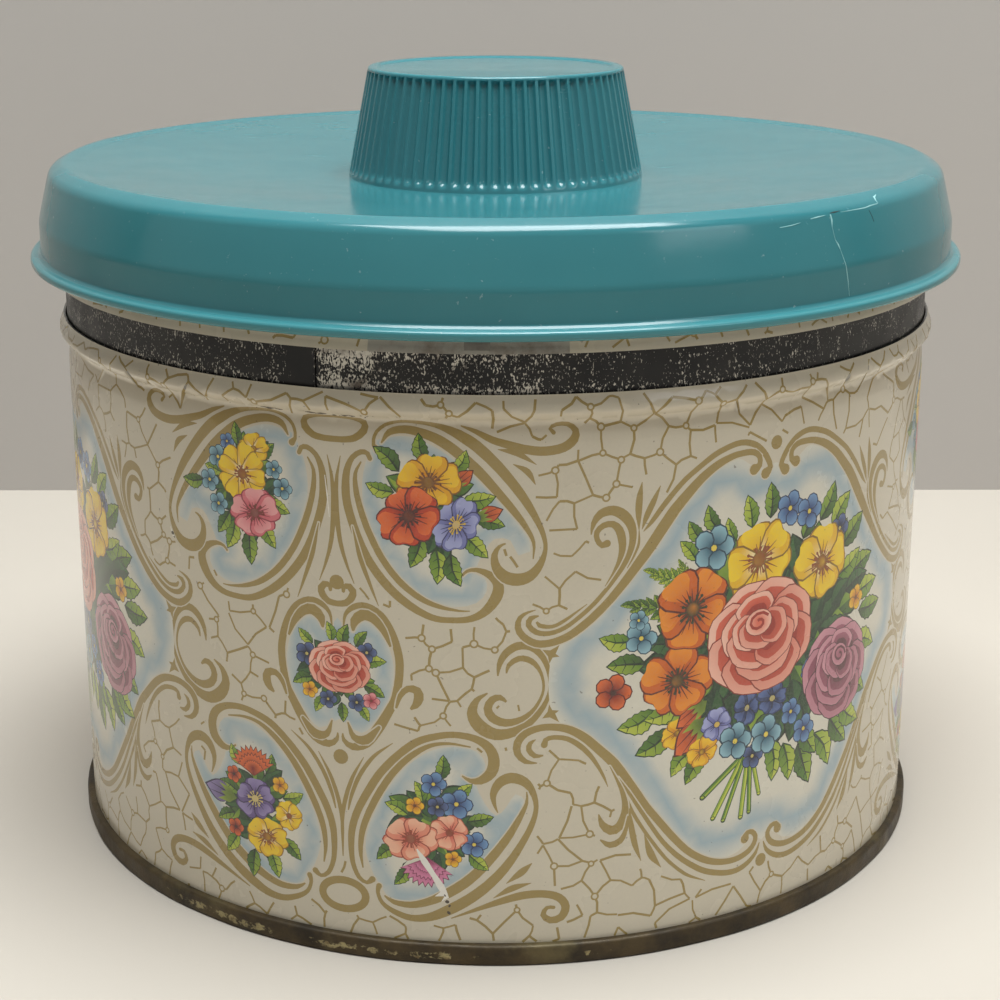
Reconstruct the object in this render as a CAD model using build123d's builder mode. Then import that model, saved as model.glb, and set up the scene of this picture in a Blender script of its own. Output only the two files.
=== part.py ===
"""Round tinplate canister with a stepped-down collar and a knobbed plastic cover on its cap.

Millimetres, +Z up, origin on the vertical axis in the plane that the bottom seam stands on.
Angles are measured round the axis from the front (-Y) towards +X. Sheet pieces are drawn as the
line of one face, given its thickness to the left. Both pressed ends are drawn as depths from the
flat of their own seam, so the cap's plane is the bottom's turned upside down.
"""

from build123d import *
import math
import os

# Tinplate and its folds
plate = 0.28
seam_gap = 0.07
seam_height = 2.9
hook_pocket = 0.45
compound_gap = 0.03

# Body of the tin, with the depths of its shoulder's folds under the mouth's edge
body_radius = 64.0
body_height = 77.8
shoulder_drop = 5.7
valley_drop = 4.2
valley_inset = 0.3
bead_drop = 2.3
bead_reach = 1.05
mouth_reach = 0.4

# Collar inside the mouth
collar_inset = 0.1
collar_tuck = 3.1
collar_lap_angle = -20.6
collar_recess_arc = 6.8
collar_tongue_arc = 6.5
lap_step = 0.25
collar_end_margin = 0.6

# Tin cap over the collar, with the height of collar that stays in sight under it
collar_show = 5.2
cap_height = 11.6
cap_clearance = 0.45
cap_seat_gap = 0.3

# Pressed ends: depth of the sunken panel under the seam's flat
panel_depth = 3.2

# Soldered side seams
solder = 0.2
solder_gap = 0.03
side_seam_arc = 2.8
side_seam_angle = -169.9
cap_seam_angle = -3.4
side_seam_margin = 0.6

# Plastic cover, which stands over the cap
rim_lift = 2.2
rim_reach = 1.5
rim_bead = 1.35
skirt_clearance = 1.12
skirt_wall = 1.0
skirt_waist = 6.1
skirt_draw = 1.75
cover_rise = 4.8
top_edge_width = 2.1
top_edge_drop = 1.8
top_wall = 1.5
dish_depth = 3.2

# Fluted knob of the cover
knob_rise = 12.6
knob_foot_radius = 21.85
knob_top_radius = 18.75
knob_wall = 2.1
knob_rim_width = 1.3
knob_rim_step = 0.3
flute_count = 72
flute_depth = 0.55
flute_mouth = 3.4
flute_floor = 1.5
flute_inset = 0.06
flute_foot_margin = 1.1
flute_top_margin = 0.6

# Worked out from the sizes above
layer = plate + seam_gap
shoulder_height = body_height - shoulder_drop
collar_radius = body_radius - collar_inset
collar_foot = body_height - collar_tuck
cap_edge_height = body_height + collar_show
cap_top = cap_edge_height + cap_height
cap_radius = collar_radius + cap_clearance + plate
cap_rim_radius = cap_radius + layer
collar_top = cap_top - panel_depth - plate - cap_seat_gap
rim_height = cap_edge_height + rim_lift
skirt_radius = cap_rim_radius + skirt_clearance + skirt_wall
skirt_top_radius = skirt_radius - skirt_draw
rim_radius = skirt_radius + rim_reach
skirt_waist_height = rim_height + skirt_waist
top_height = cap_top + cover_rise
dish_floor = top_height - dish_depth
knob_height = top_height + knob_rise
cap_plane = Plane(origin=(0, 0, cap_top), x_dir=(1, 0, 0), z_dir=(0, 1, 0))

os.makedirs("parts", exist_ok=True)


def around(angle):
    """Upright plane through the axis, turned to an angle from the front."""
    return Plane.XZ.rotated((0, 0, angle - 90))


def folded_plate(points, thickness=plate):
    """Section of a sheet folded along the line of one of its faces."""
    with BuildLine() as outline:
        face_line = Polyline(*points)
        offset(face_line, amount=thickness, kind=Kind.INTERSECTION, side=Side.LEFT)
    make_face(outline.edges())


def pressed_end_line(wall_radius):
    """Outer face of a pressed end, from its centre over the chuck wall and round its seam."""
    chuck_radius = wall_radius - plate - layer
    return [(0, panel_depth), (chuck_radius, panel_depth), (chuck_radius, 0)]


# Body wall: bottom hook, plain wall, shoulder valley and bead under the open mouth
hook_face = body_radius + layer + seam_gap
hook_fold = 2 * plate + seam_gap
with BuildPart() as body_wall:
    with BuildSketch(Plane.XZ):
        folded_plate([
            (hook_face, seam_height - plate - hook_pocket),
            (hook_face, hook_fold),
            (body_radius, hook_fold),
            (body_radius, shoulder_height),
            (body_radius - valley_inset, body_height - valley_drop),
            (body_radius + bead_reach, body_height - bead_drop),
            (body_radius + mouth_reach, body_height),
        ])
    revolve(axis=Axis.Z)
body_wall.part.label = "body_wall"

# Solder along the body's lapped side seam, at the back
with BuildPart() as body_side_seam:
    with BuildSketch(around(side_seam_angle)):
        with Locations((body_radius + solder_gap, seam_height + side_seam_margin)):
            seam_length = shoulder_height - seam_height - 2 * side_seam_margin
            Rectangle(solder, seam_length, align=(Align.MIN, Align.MIN))
    revolve(axis=Axis.Z, revolution_arc=side_seam_arc)
body_side_seam.part.label = "body_side_seam"

# Bottom end: sunken panel, chuck wall and the outer half of the double seam
seam_radius = body_radius + 3 * layer
end_hook_face = body_radius + seam_gap
with BuildPart() as bottom_end:
    with BuildSketch(Plane.XZ):
        folded_plate(pressed_end_line(body_radius) + [
            (seam_radius, 0),
            (seam_radius, seam_height),
            (end_hook_face, seam_height),
            (end_hook_face, hook_fold + hook_pocket),
        ])
    revolve(axis=Axis.Z)
bottom_end.part.label = "bottom_end"

# Sealing compound in the pocket past the tip of the body's hook
with BuildPart() as bottom_seam_compound:
    with BuildSketch(Plane.XZ):
        with BuildLine():
            compound_top = seam_height - plate - compound_gap
            Polyline(
                (hook_face, compound_top),
                (hook_face + plate, compound_top),
                (hook_face + plate / 2, compound_top - hook_pocket + 2 * compound_gap),
                close=True,
            )
        make_face()
    revolve(axis=Axis.Z)
bottom_seam_compound.part.label = "bottom_seam_compound"


def collar_section(radius):
    """Section of the collar's band, at its outer radius."""
    with Locations((radius, collar_foot)):
        Rectangle(plate, collar_top - collar_foot, align=(Align.MAX, Align.MIN))


# Collar: an open band whose one end is tucked behind the other, leaving a shallow recess
with BuildPart() as collar:
    with BuildSketch(around(collar_lap_angle + collar_recess_arc)):
        collar_section(collar_radius)
    revolve(axis=Axis.Z, revolution_arc=360 - collar_recess_arc)
    with BuildSketch(around(collar_lap_angle - collar_tongue_arc)):
        collar_section(collar_radius - lap_step)
    tongue_arc = collar_tongue_arc + collar_recess_arc + collar_end_margin
    revolve(axis=Axis.Z, revolution_arc=tongue_arc)
collar.part.label = "collar"

# Cap wall: the strip-cut top of the tin, slightly flared, which slides over the collar
with BuildPart() as cap_wall:
    with BuildSketch(cap_plane):
        folded_plate([(cap_radius, layer), (cap_radius, cap_height)])
    revolve(axis=Axis.Z)
cap_wall.part.label = "cap_wall"

# Solder on the cap wall's lap, from its lower edge to the end's flange
solder_face = cap_radius + solder_gap
with BuildPart() as cap_side_seam:
    with BuildSketch(cap_plane.rotated((0, 0, cap_seam_angle - 90))):
        folded_plate(
            [(solder_face, cap_height), (solder_face, layer + side_seam_margin)],
            solder,
        )
    revolve(axis=Axis.Z, revolution_arc=side_seam_arc)
cap_side_seam.part.label = "cap_side_seam"

# Cap end: sunken panel and the flange over the cap wall's top edge, which the cover clings to
with BuildPart() as cap_end:
    with BuildSketch(cap_plane):
        folded_plate(pressed_end_line(cap_radius) + [
            (cap_rim_radius, 0),
        ])
    revolve(axis=Axis.Z)
cap_end.part.label = "cap_end"


def flute_outline(ridge_radius):
    """Ring of ridges and flat-bottomed flutes, as one closed line."""
    points = []
    for flute in range(flute_count):
        middle = 360 * flute / flute_count
        for radius, turn in [
            (ridge_radius, -flute_mouth / 2),
            (ridge_radius - flute_depth, -flute_floor / 2),
            (ridge_radius - flute_depth, flute_floor / 2),
            (ridge_radius, flute_mouth / 2),
        ]:
            angle = math.radians(middle + turn)
            points.append((radius * math.cos(angle), radius * math.sin(angle)))
    with BuildLine() as outline:
        Polyline(*points, close=True)
    make_face(outline.edges())


# Plastic cover: rim bead, flared skirt, dished top and hollow fluted knob, in one moulding
knob_taper = (knob_foot_radius - knob_top_radius) / (knob_height - dish_floor)
flute_foot = dish_floor + flute_foot_margin
flute_top = knob_height - flute_top_margin
flute_foot_radius = knob_foot_radius - knob_taper * flute_foot_margin
flute_top_radius = knob_top_radius + knob_taper * flute_top_margin
knob_disc = knob_height - knob_rim_step
knob_rim_inside = knob_top_radius - knob_rim_width
hollow_top = knob_disc - top_wall
hollow_radius = knob_top_radius - knob_wall
with BuildPart() as knob_cover:
    with BuildSketch(Plane.XZ):
        with BuildLine():
            Polyline(
                (0, knob_disc),
                (knob_rim_inside - knob_rim_step, knob_disc),
                (knob_rim_inside, knob_height),
                (knob_top_radius, knob_height),
                (flute_top_radius, flute_top),
                (hollow_radius, flute_top),
                (hollow_radius, flute_foot),
                (flute_foot_radius, flute_foot),
                (knob_foot_radius, dish_floor),
                (skirt_top_radius - top_edge_width, top_height),
                (skirt_top_radius, top_height - top_edge_drop),
                (skirt_radius, skirt_waist_height),
                (skirt_radius, rim_height + rim_bead),
                (rim_radius, rim_height + rim_bead),
                (rim_radius, rim_height),
                (skirt_radius - skirt_wall, rim_height),
                (skirt_radius - skirt_wall, skirt_waist_height),
                (skirt_top_radius - skirt_wall, top_height - top_edge_drop),
                (hollow_radius, dish_floor - top_wall),
                (0, dish_floor - top_wall),
                close=True,
            )
        make_face()
    revolve(axis=Axis.Z)
    with BuildSketch(Plane.XY.offset(flute_foot)):
        flute_outline(flute_foot_radius - flute_inset)
    with BuildSketch(Plane.XY.offset(flute_top)):
        flute_outline(flute_top_radius - flute_inset)
    loft(ruled=True)
    with BuildSketch(Plane.XY.offset(dish_floor - top_wall)):
        Circle(hollow_radius)
    extrude(amount=hollow_top - dish_floor + top_wall, mode=Mode.SUBTRACT)
knob_cover.part.label = "knob_cover"

for piece in [
    body_wall, body_side_seam, bottom_end, bottom_seam_compound, collar,
    cap_wall, cap_side_seam, cap_end, knob_cover,
]:
    export_step(piece.part, f"parts/{piece.part.label}.step")
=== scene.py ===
"""Looks of a round tinplate canister with a knobbed plastic cover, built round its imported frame.

The print is drawn on a flat sheet in millimetres, its first axis round the wall and its second
up it, then cut into faces and wrapped round the tin. The other pieces are turned sections, but
for the knob's flutes, which a node tree sets round the axis, and the thin ridges of the crack.
"""

import logging
import math
import random
from dataclasses import dataclass, field, replace
from enum import Enum
from typing import ClassVar, Iterable, Sequence

import bmesh
import bpy
import numpy as np
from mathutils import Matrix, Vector, kdtree
from mathutils.bvhtree import BVHTree
from mathutils.geometry import delaunay_2d_cdt

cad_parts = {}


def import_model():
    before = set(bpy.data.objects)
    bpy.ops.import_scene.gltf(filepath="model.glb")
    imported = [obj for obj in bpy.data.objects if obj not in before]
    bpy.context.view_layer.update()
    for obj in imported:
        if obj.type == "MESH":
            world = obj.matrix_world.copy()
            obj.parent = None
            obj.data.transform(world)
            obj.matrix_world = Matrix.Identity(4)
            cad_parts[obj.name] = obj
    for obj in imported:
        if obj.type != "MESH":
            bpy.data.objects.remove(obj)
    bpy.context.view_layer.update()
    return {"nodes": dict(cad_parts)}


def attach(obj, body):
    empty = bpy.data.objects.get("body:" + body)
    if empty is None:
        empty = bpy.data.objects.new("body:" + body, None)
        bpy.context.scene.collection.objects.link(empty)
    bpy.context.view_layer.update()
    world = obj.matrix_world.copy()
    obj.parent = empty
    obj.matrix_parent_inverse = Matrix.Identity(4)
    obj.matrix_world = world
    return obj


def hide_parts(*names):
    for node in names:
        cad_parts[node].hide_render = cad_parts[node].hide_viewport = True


LOG = logging.getLogger("tin")
MM = 0.001
WALL_RADIUS = 64.0
HALF_ROUND = math.pi * WALL_RADIUS
PLATE = 0.28

# Heights of the wall's and the cap strip's edges; the knob's foot in the dish and its top
WALL_LOW, WALL_HIGH = 2.4, 77.8
STRIP_LOW, STRIP_HIGH = 83.0, 94.2
DISH_FLOOR, KNOB_HEIGHT = 96.2, 112.0
KNOB_FOOT, KNOB_TOP = 21.85, 18.75

Point = tuple[float, float]
Knot = tuple[float, float, float]
Colour = tuple[float, float, float]
Mesh = bpy.types.Mesh
Material = bpy.types.Material
Socket = bpy.types.NodeSocket


def ink(code: str) -> Colour:
    """Linear colour of a six-figure display colour."""
    parts = [int(code[k : k + 2], 16) / 255 for k in (0, 2, 4)]
    return tuple(c / 12.92 if c <= 0.04045 else ((c + 0.055) / 1.055) ** 2.4 for c in parts)


def arc_mm(degrees: float) -> float:
    """Length round the wall, in millimetres, of an angle from the front."""
    return math.radians(degrees) * WALL_RADIUS


def smooth_path(knots: Sequence[Knot], step: float) -> np.ndarray:
    """Runs a smooth line through knots of any length.

    Args:
        knots: Points with further values, such as a width, to be run along with them.
        step: Greatest distance between two points of the line.

    Returns:
        One row for each point of the line.
    """
    rows = np.array(knots, float)
    if len(rows) < 3:
        parts = max(1, math.ceil(np.linalg.norm(rows[1, :2] - rows[0, :2]) / step))
        return np.linspace(rows[0], rows[1], parts + 1)
    ends = np.vstack([2 * rows[0] - rows[1], rows, 2 * rows[-1] - rows[-2]])
    line = [rows[0]]
    for a, b, c, d in zip(ends, ends[1:], ends[2:], ends[3:]):
        parts = max(1, math.ceil(np.linalg.norm(c[:2] - b[:2]) / step))
        for k in range(1, parts + 1):
            t = k / parts
            bend = (2 * a - 5 * b + 4 * c - d) * t * t + (3 * b - a - 3 * c + d) * t**3
            line.append(b + 0.5 * ((c - a) * t + bend))
    return np.array(line)


def rounded_section(corners: Sequence[Knot], steps: int = 5) -> list[Point]:
    """Rounds the corners of a section.

    Args:
        corners: Radius, height and rounding of each corner.
        steps: Faces in each rounding.

    Returns:
        The points of the rounded line.
    """
    line: list[Point] = []
    for k, (x, y, rounding) in enumerate(corners):
        if rounding <= 0 or k in (0, len(corners) - 1):
            line.append((x, y))
            continue
        here = Vector((x, y))
        back = (Vector(corners[k - 1][:2]) - here).normalized()
        on = (Vector(corners[k + 1][:2]) - here).normalized()
        half = back.angle(on) / 2
        reach = rounding / math.tan(half)
        start, end = here + back * reach, here + on * reach
        centre = here + (back + on).normalized() * rounding / math.sin(half)
        first, last = start - centre, end - centre
        turn = math.atan2(first.x * last.y - first.y * last.x, first.dot(last))
        for n in range(steps + 1):
            a = turn * n / steps
            x1 = centre.x + first.x * math.cos(a) - first.y * math.sin(a)
            y1 = centre.y + first.x * math.sin(a) + first.y * math.cos(a)
            line.append((x1, y1))
    return line


def make_object(name: str, mesh: Mesh, material: Material) -> bpy.types.Object:
    """Puts a mesh in the scene as an object with one material."""
    item = bpy.data.objects.new(name, mesh)
    bpy.context.scene.collection.objects.link(item)
    mesh.materials.clear()
    mesh.materials.append(material)
    return item


def shade(mesh: Mesh, crease: float = 38.0) -> None:
    """Shades a mesh smooth but for the edges that turn more than crease degrees."""
    work = bmesh.new()
    work.from_mesh(mesh)
    for edge in work.edges:
        if len(edge.link_faces) == 2:
            edge.smooth = edge.calc_face_angle(0) < math.radians(crease)
    for face in work.faces:
        face.smooth = True
    work.to_mesh(mesh)
    work.free()


def turned(name: str, section: Sequence[Point], segments: int, arc: tuple[float, float] = (0, 360)) -> Mesh:
    """Turns a closed section round the axis.

    Args:
        name: Name of the mesh.
        section: Radius and height of each point, in millimetres; the last joins the first,
            unless both lie on the axis.
        segments: Faces in a whole turn.
        arc: First and last angle, in degrees from the front, for a piece that isn't a whole ring.

    Returns:
        The closed mesh, in metres.
    """
    whole = abs(arc[1] - arc[0]) >= 360
    count = segments if whole else max(2, round(segments * abs(arc[1] - arc[0]) / 360))
    angles = [math.radians(arc[0] + (arc[1] - arc[0]) * k / count) for k in range(count + (not whole))]
    work = bmesh.new()
    rings = []
    for radius, height in section:
        if radius < 1e-6:
            rings.append([work.verts.new((0, 0, height * MM))] * len(angles))
        else:
            rings.append([
                work.verts.new((radius * math.sin(a) * MM, -radius * math.cos(a) * MM, height * MM))
                for a in angles
            ])
    closed = section[0][0] > 1e-6 or section[-1][0] > 1e-6
    for k in range(len(rings) if closed else len(rings) - 1):
        low, high = rings[k], rings[(k + 1) % len(rings)]
        for n in range(len(angles) if whole else len(angles) - 1):
            m = (n + 1) % len(angles)
            loop = [low[n], low[m], high[m], high[n]]
            corners = list(dict.fromkeys(loop))
            if len(corners) > 2:
                work.faces.new(corners)
    if not whole:
        for n in (0, len(angles) - 1):
            work.faces.new([ring[n] for ring in rings])
    bmesh.ops.recalc_face_normals(work, faces=work.faces)
    mesh = bpy.data.meshes.new(name)
    work.to_mesh(mesh)
    work.free()
    return mesh


class Graph:
    """Short hand for the nodes of one material."""

    def __init__(self, name: str) -> None:
        """Starts a material with an empty node tree, an output and a main shader."""
        self.material = bpy.data.materials.new(name)
        self.material.use_nodes = True
        self.tree = self.material.node_tree
        self.tree.nodes.clear()
        self.shader = self.add("ShaderNodeBsdfPrincipled")
        output = self.add("ShaderNodeOutputMaterial")
        self.join(self.shader.outputs["BSDF"], output.inputs["Surface"])
        self.place = self.add("ShaderNodeTexCoord").outputs["Object"]

    def add(self, kind: str, **values: object) -> bpy.types.Node:
        """Adds a node and sets its properties."""
        node = self.tree.nodes.new(kind)
        for name, value in values.items():
            setattr(node, name, value)
        return node

    def join(self, source: Socket, target: Socket) -> None:
        """Links an output to an input."""
        self.tree.links.new(source, target)

    def feed(self, value: object, target: Socket) -> None:
        """Links a socket, or writes a plain value, to an input."""
        if isinstance(value, Socket):
            self.join(value, target)
            return
        opaque = isinstance(value, tuple) and len(value) == 3 and len(target.default_value) == 4
        target.default_value = (*value, 1.0) if opaque else value

    def stretch(self, scale: tuple[float, float, float], place: Socket | None = None) -> Socket:
        """Scales the place that a pattern is read at."""
        node = self.add("ShaderNodeMapping")
        self.join(place or self.place, node.inputs["Vector"])
        node.inputs["Scale"].default_value = scale
        return node.outputs["Vector"]

    def noise(
        self, scale: float, detail: float = 4.0, rough: float = 0.55, place: Socket | None = None,
    ) -> Socket:
        """Reads a noise pattern; scale counts its waves in a metre."""
        node = self.add("ShaderNodeTexNoise")
        self.join(place or self.place, node.inputs["Vector"])
        node.inputs["Scale"].default_value = scale
        node.inputs["Detail"].default_value = detail
        node.inputs["Roughness"].default_value = rough
        return node.outputs["Fac"]

    def ramp(self, value: Socket, low: float, high: float, first: float = 0.0, last: float = 1.0) -> Socket:
        """Maps the range low to high onto first to last, held at both ends."""
        node = self.add("ShaderNodeMapRange")
        self.join(value, node.inputs["Value"])
        for name, number in zip(("From Min", "From Max", "To Min", "To Max"), (low, high, first, last)):
            node.inputs[name].default_value = number
        return node.outputs["Result"]

    def math(self, action: str, a: object, b: object) -> Socket:
        """Works out one sum."""
        node = self.add("ShaderNodeMath", operation=action)
        self.feed(a, node.inputs[0])
        self.feed(b, node.inputs[1])
        return node.outputs["Value"]

    def plus(self, a: object, b: object) -> Socket:
        """Adds two values."""
        return self.math("ADD", a, b)

    def times(self, a: object, b: object) -> Socket:
        """Multiplies two values."""
        return self.math("MULTIPLY", a, b)

    def mix(self, share: object, a: object, b: object) -> Socket:
        """Mixes two colours."""
        node = self.add("ShaderNodeMix", data_type="RGBA")
        for socket, value in ((0, share), (6, a), (7, b)):
            self.feed(value, node.inputs[socket])
        return node.outputs[2]

    def read(self, name: str) -> bpy.types.Node:
        """Reads an attribute of the mesh."""
        return self.add("ShaderNodeAttribute", attribute_name=name)

    def bump(self, height: Socket, depth: float, under: Socket | None = None) -> Socket:
        """Raises the surface by a pattern, depth metres high, over another such pattern."""
        node = self.add("ShaderNodeBump")
        node.inputs["Strength"].default_value = 1.0
        node.inputs["Distance"].default_value = depth
        self.join(height, node.inputs["Height"])
        if under is not None:
            self.join(under, node.inputs["Normal"])
        return node.outputs["Normal"]

    def set(self, **values: object) -> None:
        """Feeds the main shader's inputs, named with low lines for spaces."""
        for name, value in values.items():
            self.feed(value, self.shader.inputs[name.replace("_", " ")])


@dataclass(frozen=True)
class PrintedTinplate:
    """Varnished print over tinplate: the printed colours, and bare metal where there is none."""

    gloss: float = 0.24
    grime: Colour = ink("8A7A5E")
    speck: Colour = ink("4A3520")
    metal: Colour = ink("A5A197")

    def build(self) -> Material:
        """Builds the material."""
        g = Graph("printed_tinplate")
        # The colour attribute holds the print, and near-black painted shade on the shell's edge faces; its
        # alpha is 1 where the metal is bare.
        colour = g.read("print_and_shade_colour")
        bare = colour.outputs["Alpha"]
        soft = g.noise(55, 5)
        fine = g.noise(2600, 2)
        stain = g.times(g.ramp(g.noise(24, 6, 0.7), 0.56, 0.78), g.ramp(fine, 0.3, 0.7, 0.5, 1.0))
        tone = g.mix(g.ramp(fine, 0.32, 0.68, 0.0, 0.07), colour.outputs["Color"], (0.4, 0.38, 0.33))
        tone = g.mix(g.times(stain, 0.16), tone, self.grime)
        tone = g.mix(g.ramp(g.noise(1500, 1), 0.77, 0.79, 0.0, 0.5), tone, self.speck)
        scuffed = g.mix(g.ramp(g.noise(260, 7, 0.7), 0.44, 0.86), self.metal, self.speck)
        printed = g.math("SUBTRACT", 1.0, bare)
        g.set(
            Base_Color=g.mix(bare, tone, scuffed),
            Metallic=g.times(bare, 0.5),
            Roughness=g.plus(
                g.ramp(soft, 0.3, 0.7, self.gloss - 0.04, self.gloss + 0.08), g.times(bare, 0.12),
            ),
            Coat_Weight=g.times(printed, 0.35),
            Coat_Roughness=0.09,
            Specular_IOR_Level=0.5,
            Normal=g.bump(g.noise(38, 2), 0.00045, g.bump(g.noise(260, 3), 0.00002)),
        )
        return g.material


@dataclass(frozen=True)
class ScuffedLacquer:
    """Black lacquer on tinplate, rubbed down to flecks of bare metal."""

    lacquer: Colour = ink("101113")
    metal: Colour = ink("D2CDC2")
    rust: Colour = ink("6A625A")

    def build(self) -> Material:
        """Builds the material; the mesh's wear value says how much is rubbed off."""
        g = Graph("scuffed_lacquer")
        wear = g.read("wear").outputs["Fac"]
        fleck = g.noise(4200, 2, 0.6, g.stretch((1, 1, 0.55)))
        clump = g.noise(620, 5, 0.7)
        rub = g.noise(70, 4, 0.6, g.stretch((1, 1, 2.6)))
        level = g.plus(g.times(fleck, 0.62), g.times(clump, 0.26))
        level = g.plus(level, g.times(rub, 0.12))
        bared = g.ramp(g.plus(level, wear), 0.57, 0.6)
        dull = g.mix(g.ramp(g.noise(150, 5), 0.42, 0.62), self.lacquer, ink("1E1D1D"))
        tin = g.mix(g.ramp(g.noise(500, 5), 0.5, 0.72), self.metal, self.rust)
        g.set(
            Base_Color=g.mix(bared, dull, tin),
            Metallic=g.times(bared, 0.45),
            Roughness=g.ramp(g.noise(200, 4), 0.3, 0.7, 0.3, 0.46),
            Specular_IOR_Level=0.35,
            Normal=g.bump(bared, 0.00004, g.bump(g.noise(70, 3), 0.0003)),
        )
        return g.material


@dataclass(frozen=True)
class RustedSeam:
    """Tinplate seam gone brown, with what is left of its cream lacquer."""

    rust: Colour = ink("4B3D24")
    dark: Colour = ink("2A2215")
    cream: Colour = ink("A59668")
    metal: Colour = ink("746845")

    def build(self) -> Material:
        """Builds the material; the mesh's lacquer value says where the cream is left."""
        g = Graph("rusted_seam")
        left = g.read("lacquer").outputs["Fac"]
        patch = g.noise(95, 9, 0.72, g.stretch((1, 1, 1.7)))
        speckle = g.noise(700, 4, 0.7)
        level = g.plus(g.times(patch, 0.75), g.times(speckle, 0.25))
        kept = g.ramp(g.plus(level, left), 0.62, 0.65)
        rust = g.mix(g.ramp(g.noise(140, 8, 0.7), 0.4, 0.62), self.rust, self.dark)
        rust = g.mix(g.ramp(g.noise(60, 6, 0.65), 0.55, 0.7, 0.0, 0.6), rust, self.metal)
        cream = g.mix(g.ramp(speckle, 0.55, 0.68), self.cream, ink("6E5A34"))
        g.set(
            Base_Color=g.mix(kept, rust, cream),
            Metallic=g.ramp(kept, 0.0, 1.0, 0.35, 0.0),
            Roughness=g.ramp(g.noise(180, 6), 0.3, 0.7, 0.38, 0.66),
            Normal=g.bump(g.noise(330, 8, 0.7), 0.00016, g.bump(kept, 0.00005)),
        )
        return g.material


@dataclass(frozen=True)
class MouldedPlastic:
    """Glossy turquoise polystyrene with faint clouding and hair scratches."""

    colour: Colour = ink("30737A")
    pale: Colour = ink("5FA3A5")
    gloss: float = 0.16

    def build(self) -> Material:
        """Builds the material; the mesh's thin value is 1 where light comes through an edge, and there the
        colour is painted paler as a painted glow.
        """
        g = Graph("turquoise_plastic")
        thin = g.read("thin").outputs["Fac"]
        cloud = g.ramp(g.noise(18, 5, 0.6), 0.35, 0.7, 0.0, 0.12)
        # Painted glow: the colour goes paler where light would shine through the cover's thin edge.
        tone = g.mix(g.math("MAXIMUM", cloud, g.times(thin, 0.45)), self.colour, self.pale)
        dust = g.ramp(g.noise(1500, 2), 0.72, 0.78, 0.0, 0.25)
        tone = g.mix(dust, tone, ink("C9D6D2"))
        hair = g.noise(900, 3, 0.7, g.stretch((0.06, 1, 1)))
        g.set(
            Base_Color=tone,
            Roughness=g.plus(
                g.ramp(g.noise(45, 6, 0.65), 0.35, 0.75, self.gloss - 0.03, self.gloss + 0.09),
                g.ramp(hair, 0.66, 0.74, 0.0, 0.1),
            ),
            Specular_IOR_Level=0.5,
            Subsurface_Weight=0.12,
            Subsurface_Radius=(0.3, 0.8, 0.9),
            Subsurface_Scale=0.003,
            Normal=g.bump(g.noise(30, 2), 0.0003, g.bump(g.noise(850, 2), 0.000006)),
        )
        return g.material


@dataclass(frozen=True)
class PlainFinish:
    """A metal or rubber that a cloud of a second tone passes over."""

    name: str
    tone: Colour
    cloud: Colour
    metal: float
    rough: float
    waves: float = 160.0

    def build(self) -> Material:
        """Builds the material."""
        g = Graph(self.name)
        g.set(
            Base_Color=g.mix(g.ramp(g.noise(self.waves, 6, 0.65), 0.4, 0.68), self.tone, self.cloud),
            Metallic=self.metal,
            Roughness=g.ramp(g.noise(self.waves * 2, 5), 0.3, 0.7, self.rough - 0.08, self.rough + 0.1),
            Normal=g.bump(g.noise(self.waves * 3, 4), 0.00003),
        )
        return g.material


GROUND = ink("CEC4AF")


class Paint:
    """Paint of a printed area; called with places, it gives the colour at each.

    Attributes:
        even: It has one colour all over, so areas of equal paints can be joined.
        bare: There is no paint, and the metal shows.
    """

    even: ClassVar[bool] = False
    bare: ClassVar[bool] = False

    def __call__(self, points: np.ndarray) -> np.ndarray:
        """Gives the colour at each point."""
        raise NotImplementedError


@dataclass(frozen=True)
class Wash(Paint):
    """Paint that goes from one colour at a point to another at some distance from it."""

    root: Colour
    rim: Colour
    at: Point = (0.0, 0.0)
    start: float = 0.0
    reach: float = 1.0
    curve: float = 1.0

    def __call__(self, points: np.ndarray) -> np.ndarray:
        """Gives the colour at each point."""
        away = np.hypot(points[:, 0] - self.at[0], points[:, 1] - self.at[1])
        share = np.clip((away - self.start) / max(1e-6, self.reach - self.start), 0, 1) ** self.curve
        return np.array(self.root) * (1 - share[:, None]) + np.array(self.rim) * share[:, None]


@dataclass(frozen=True)
class Flat(Paint):
    """Paint of one colour."""

    even: ClassVar[bool] = True
    tone: Colour

    def __call__(self, points: np.ndarray) -> np.ndarray:
        """Gives the colour at each point."""
        return np.tile(self.tone, (len(points), 1))


@dataclass(frozen=True)
class BareMetal(Flat):
    """No paint: the tinplate shows."""

    even: ClassVar[bool] = False
    bare: ClassVar[bool] = True
    tone: Colour = ink("A8A39A")


@dataclass(frozen=True)
class Halo(Paint):
    """White ground with a soft blue band along the inside of its outline."""

    outline: tuple[Point, ...]
    middle: float
    spread: float
    strength: float
    white: Colour = ink("D9D3C2")
    blue: Colour = ink("8FA9B6")

    def __call__(self, points: np.ndarray) -> np.ndarray:
        """Gives the colour at each point."""
        line = np.array(self.outline)
        a, b = line, np.roll(line, -1, 0)
        along = b - a
        away = np.full(len(points), 1e9)
        for start, side in zip(a, along):
            t = np.clip(((points - start) @ side) / max(1e-9, side @ side), 0, 1)
            away = np.minimum(away, np.hypot(*(points - start - t[:, None] * side).T))
        x, z = points.T
        wave = 0.55 * np.sin(x * 0.9 + z * 0.5) + 0.35 * np.sin(z * 1.7 - x * 0.6)
        off = (away - self.middle - wave * self.spread * 0.3) / self.spread
        share = self.strength * np.exp(-(off**2))
        return np.array(self.white) * (1 - share[:, None]) + np.array(self.blue) * share[:, None]


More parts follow.
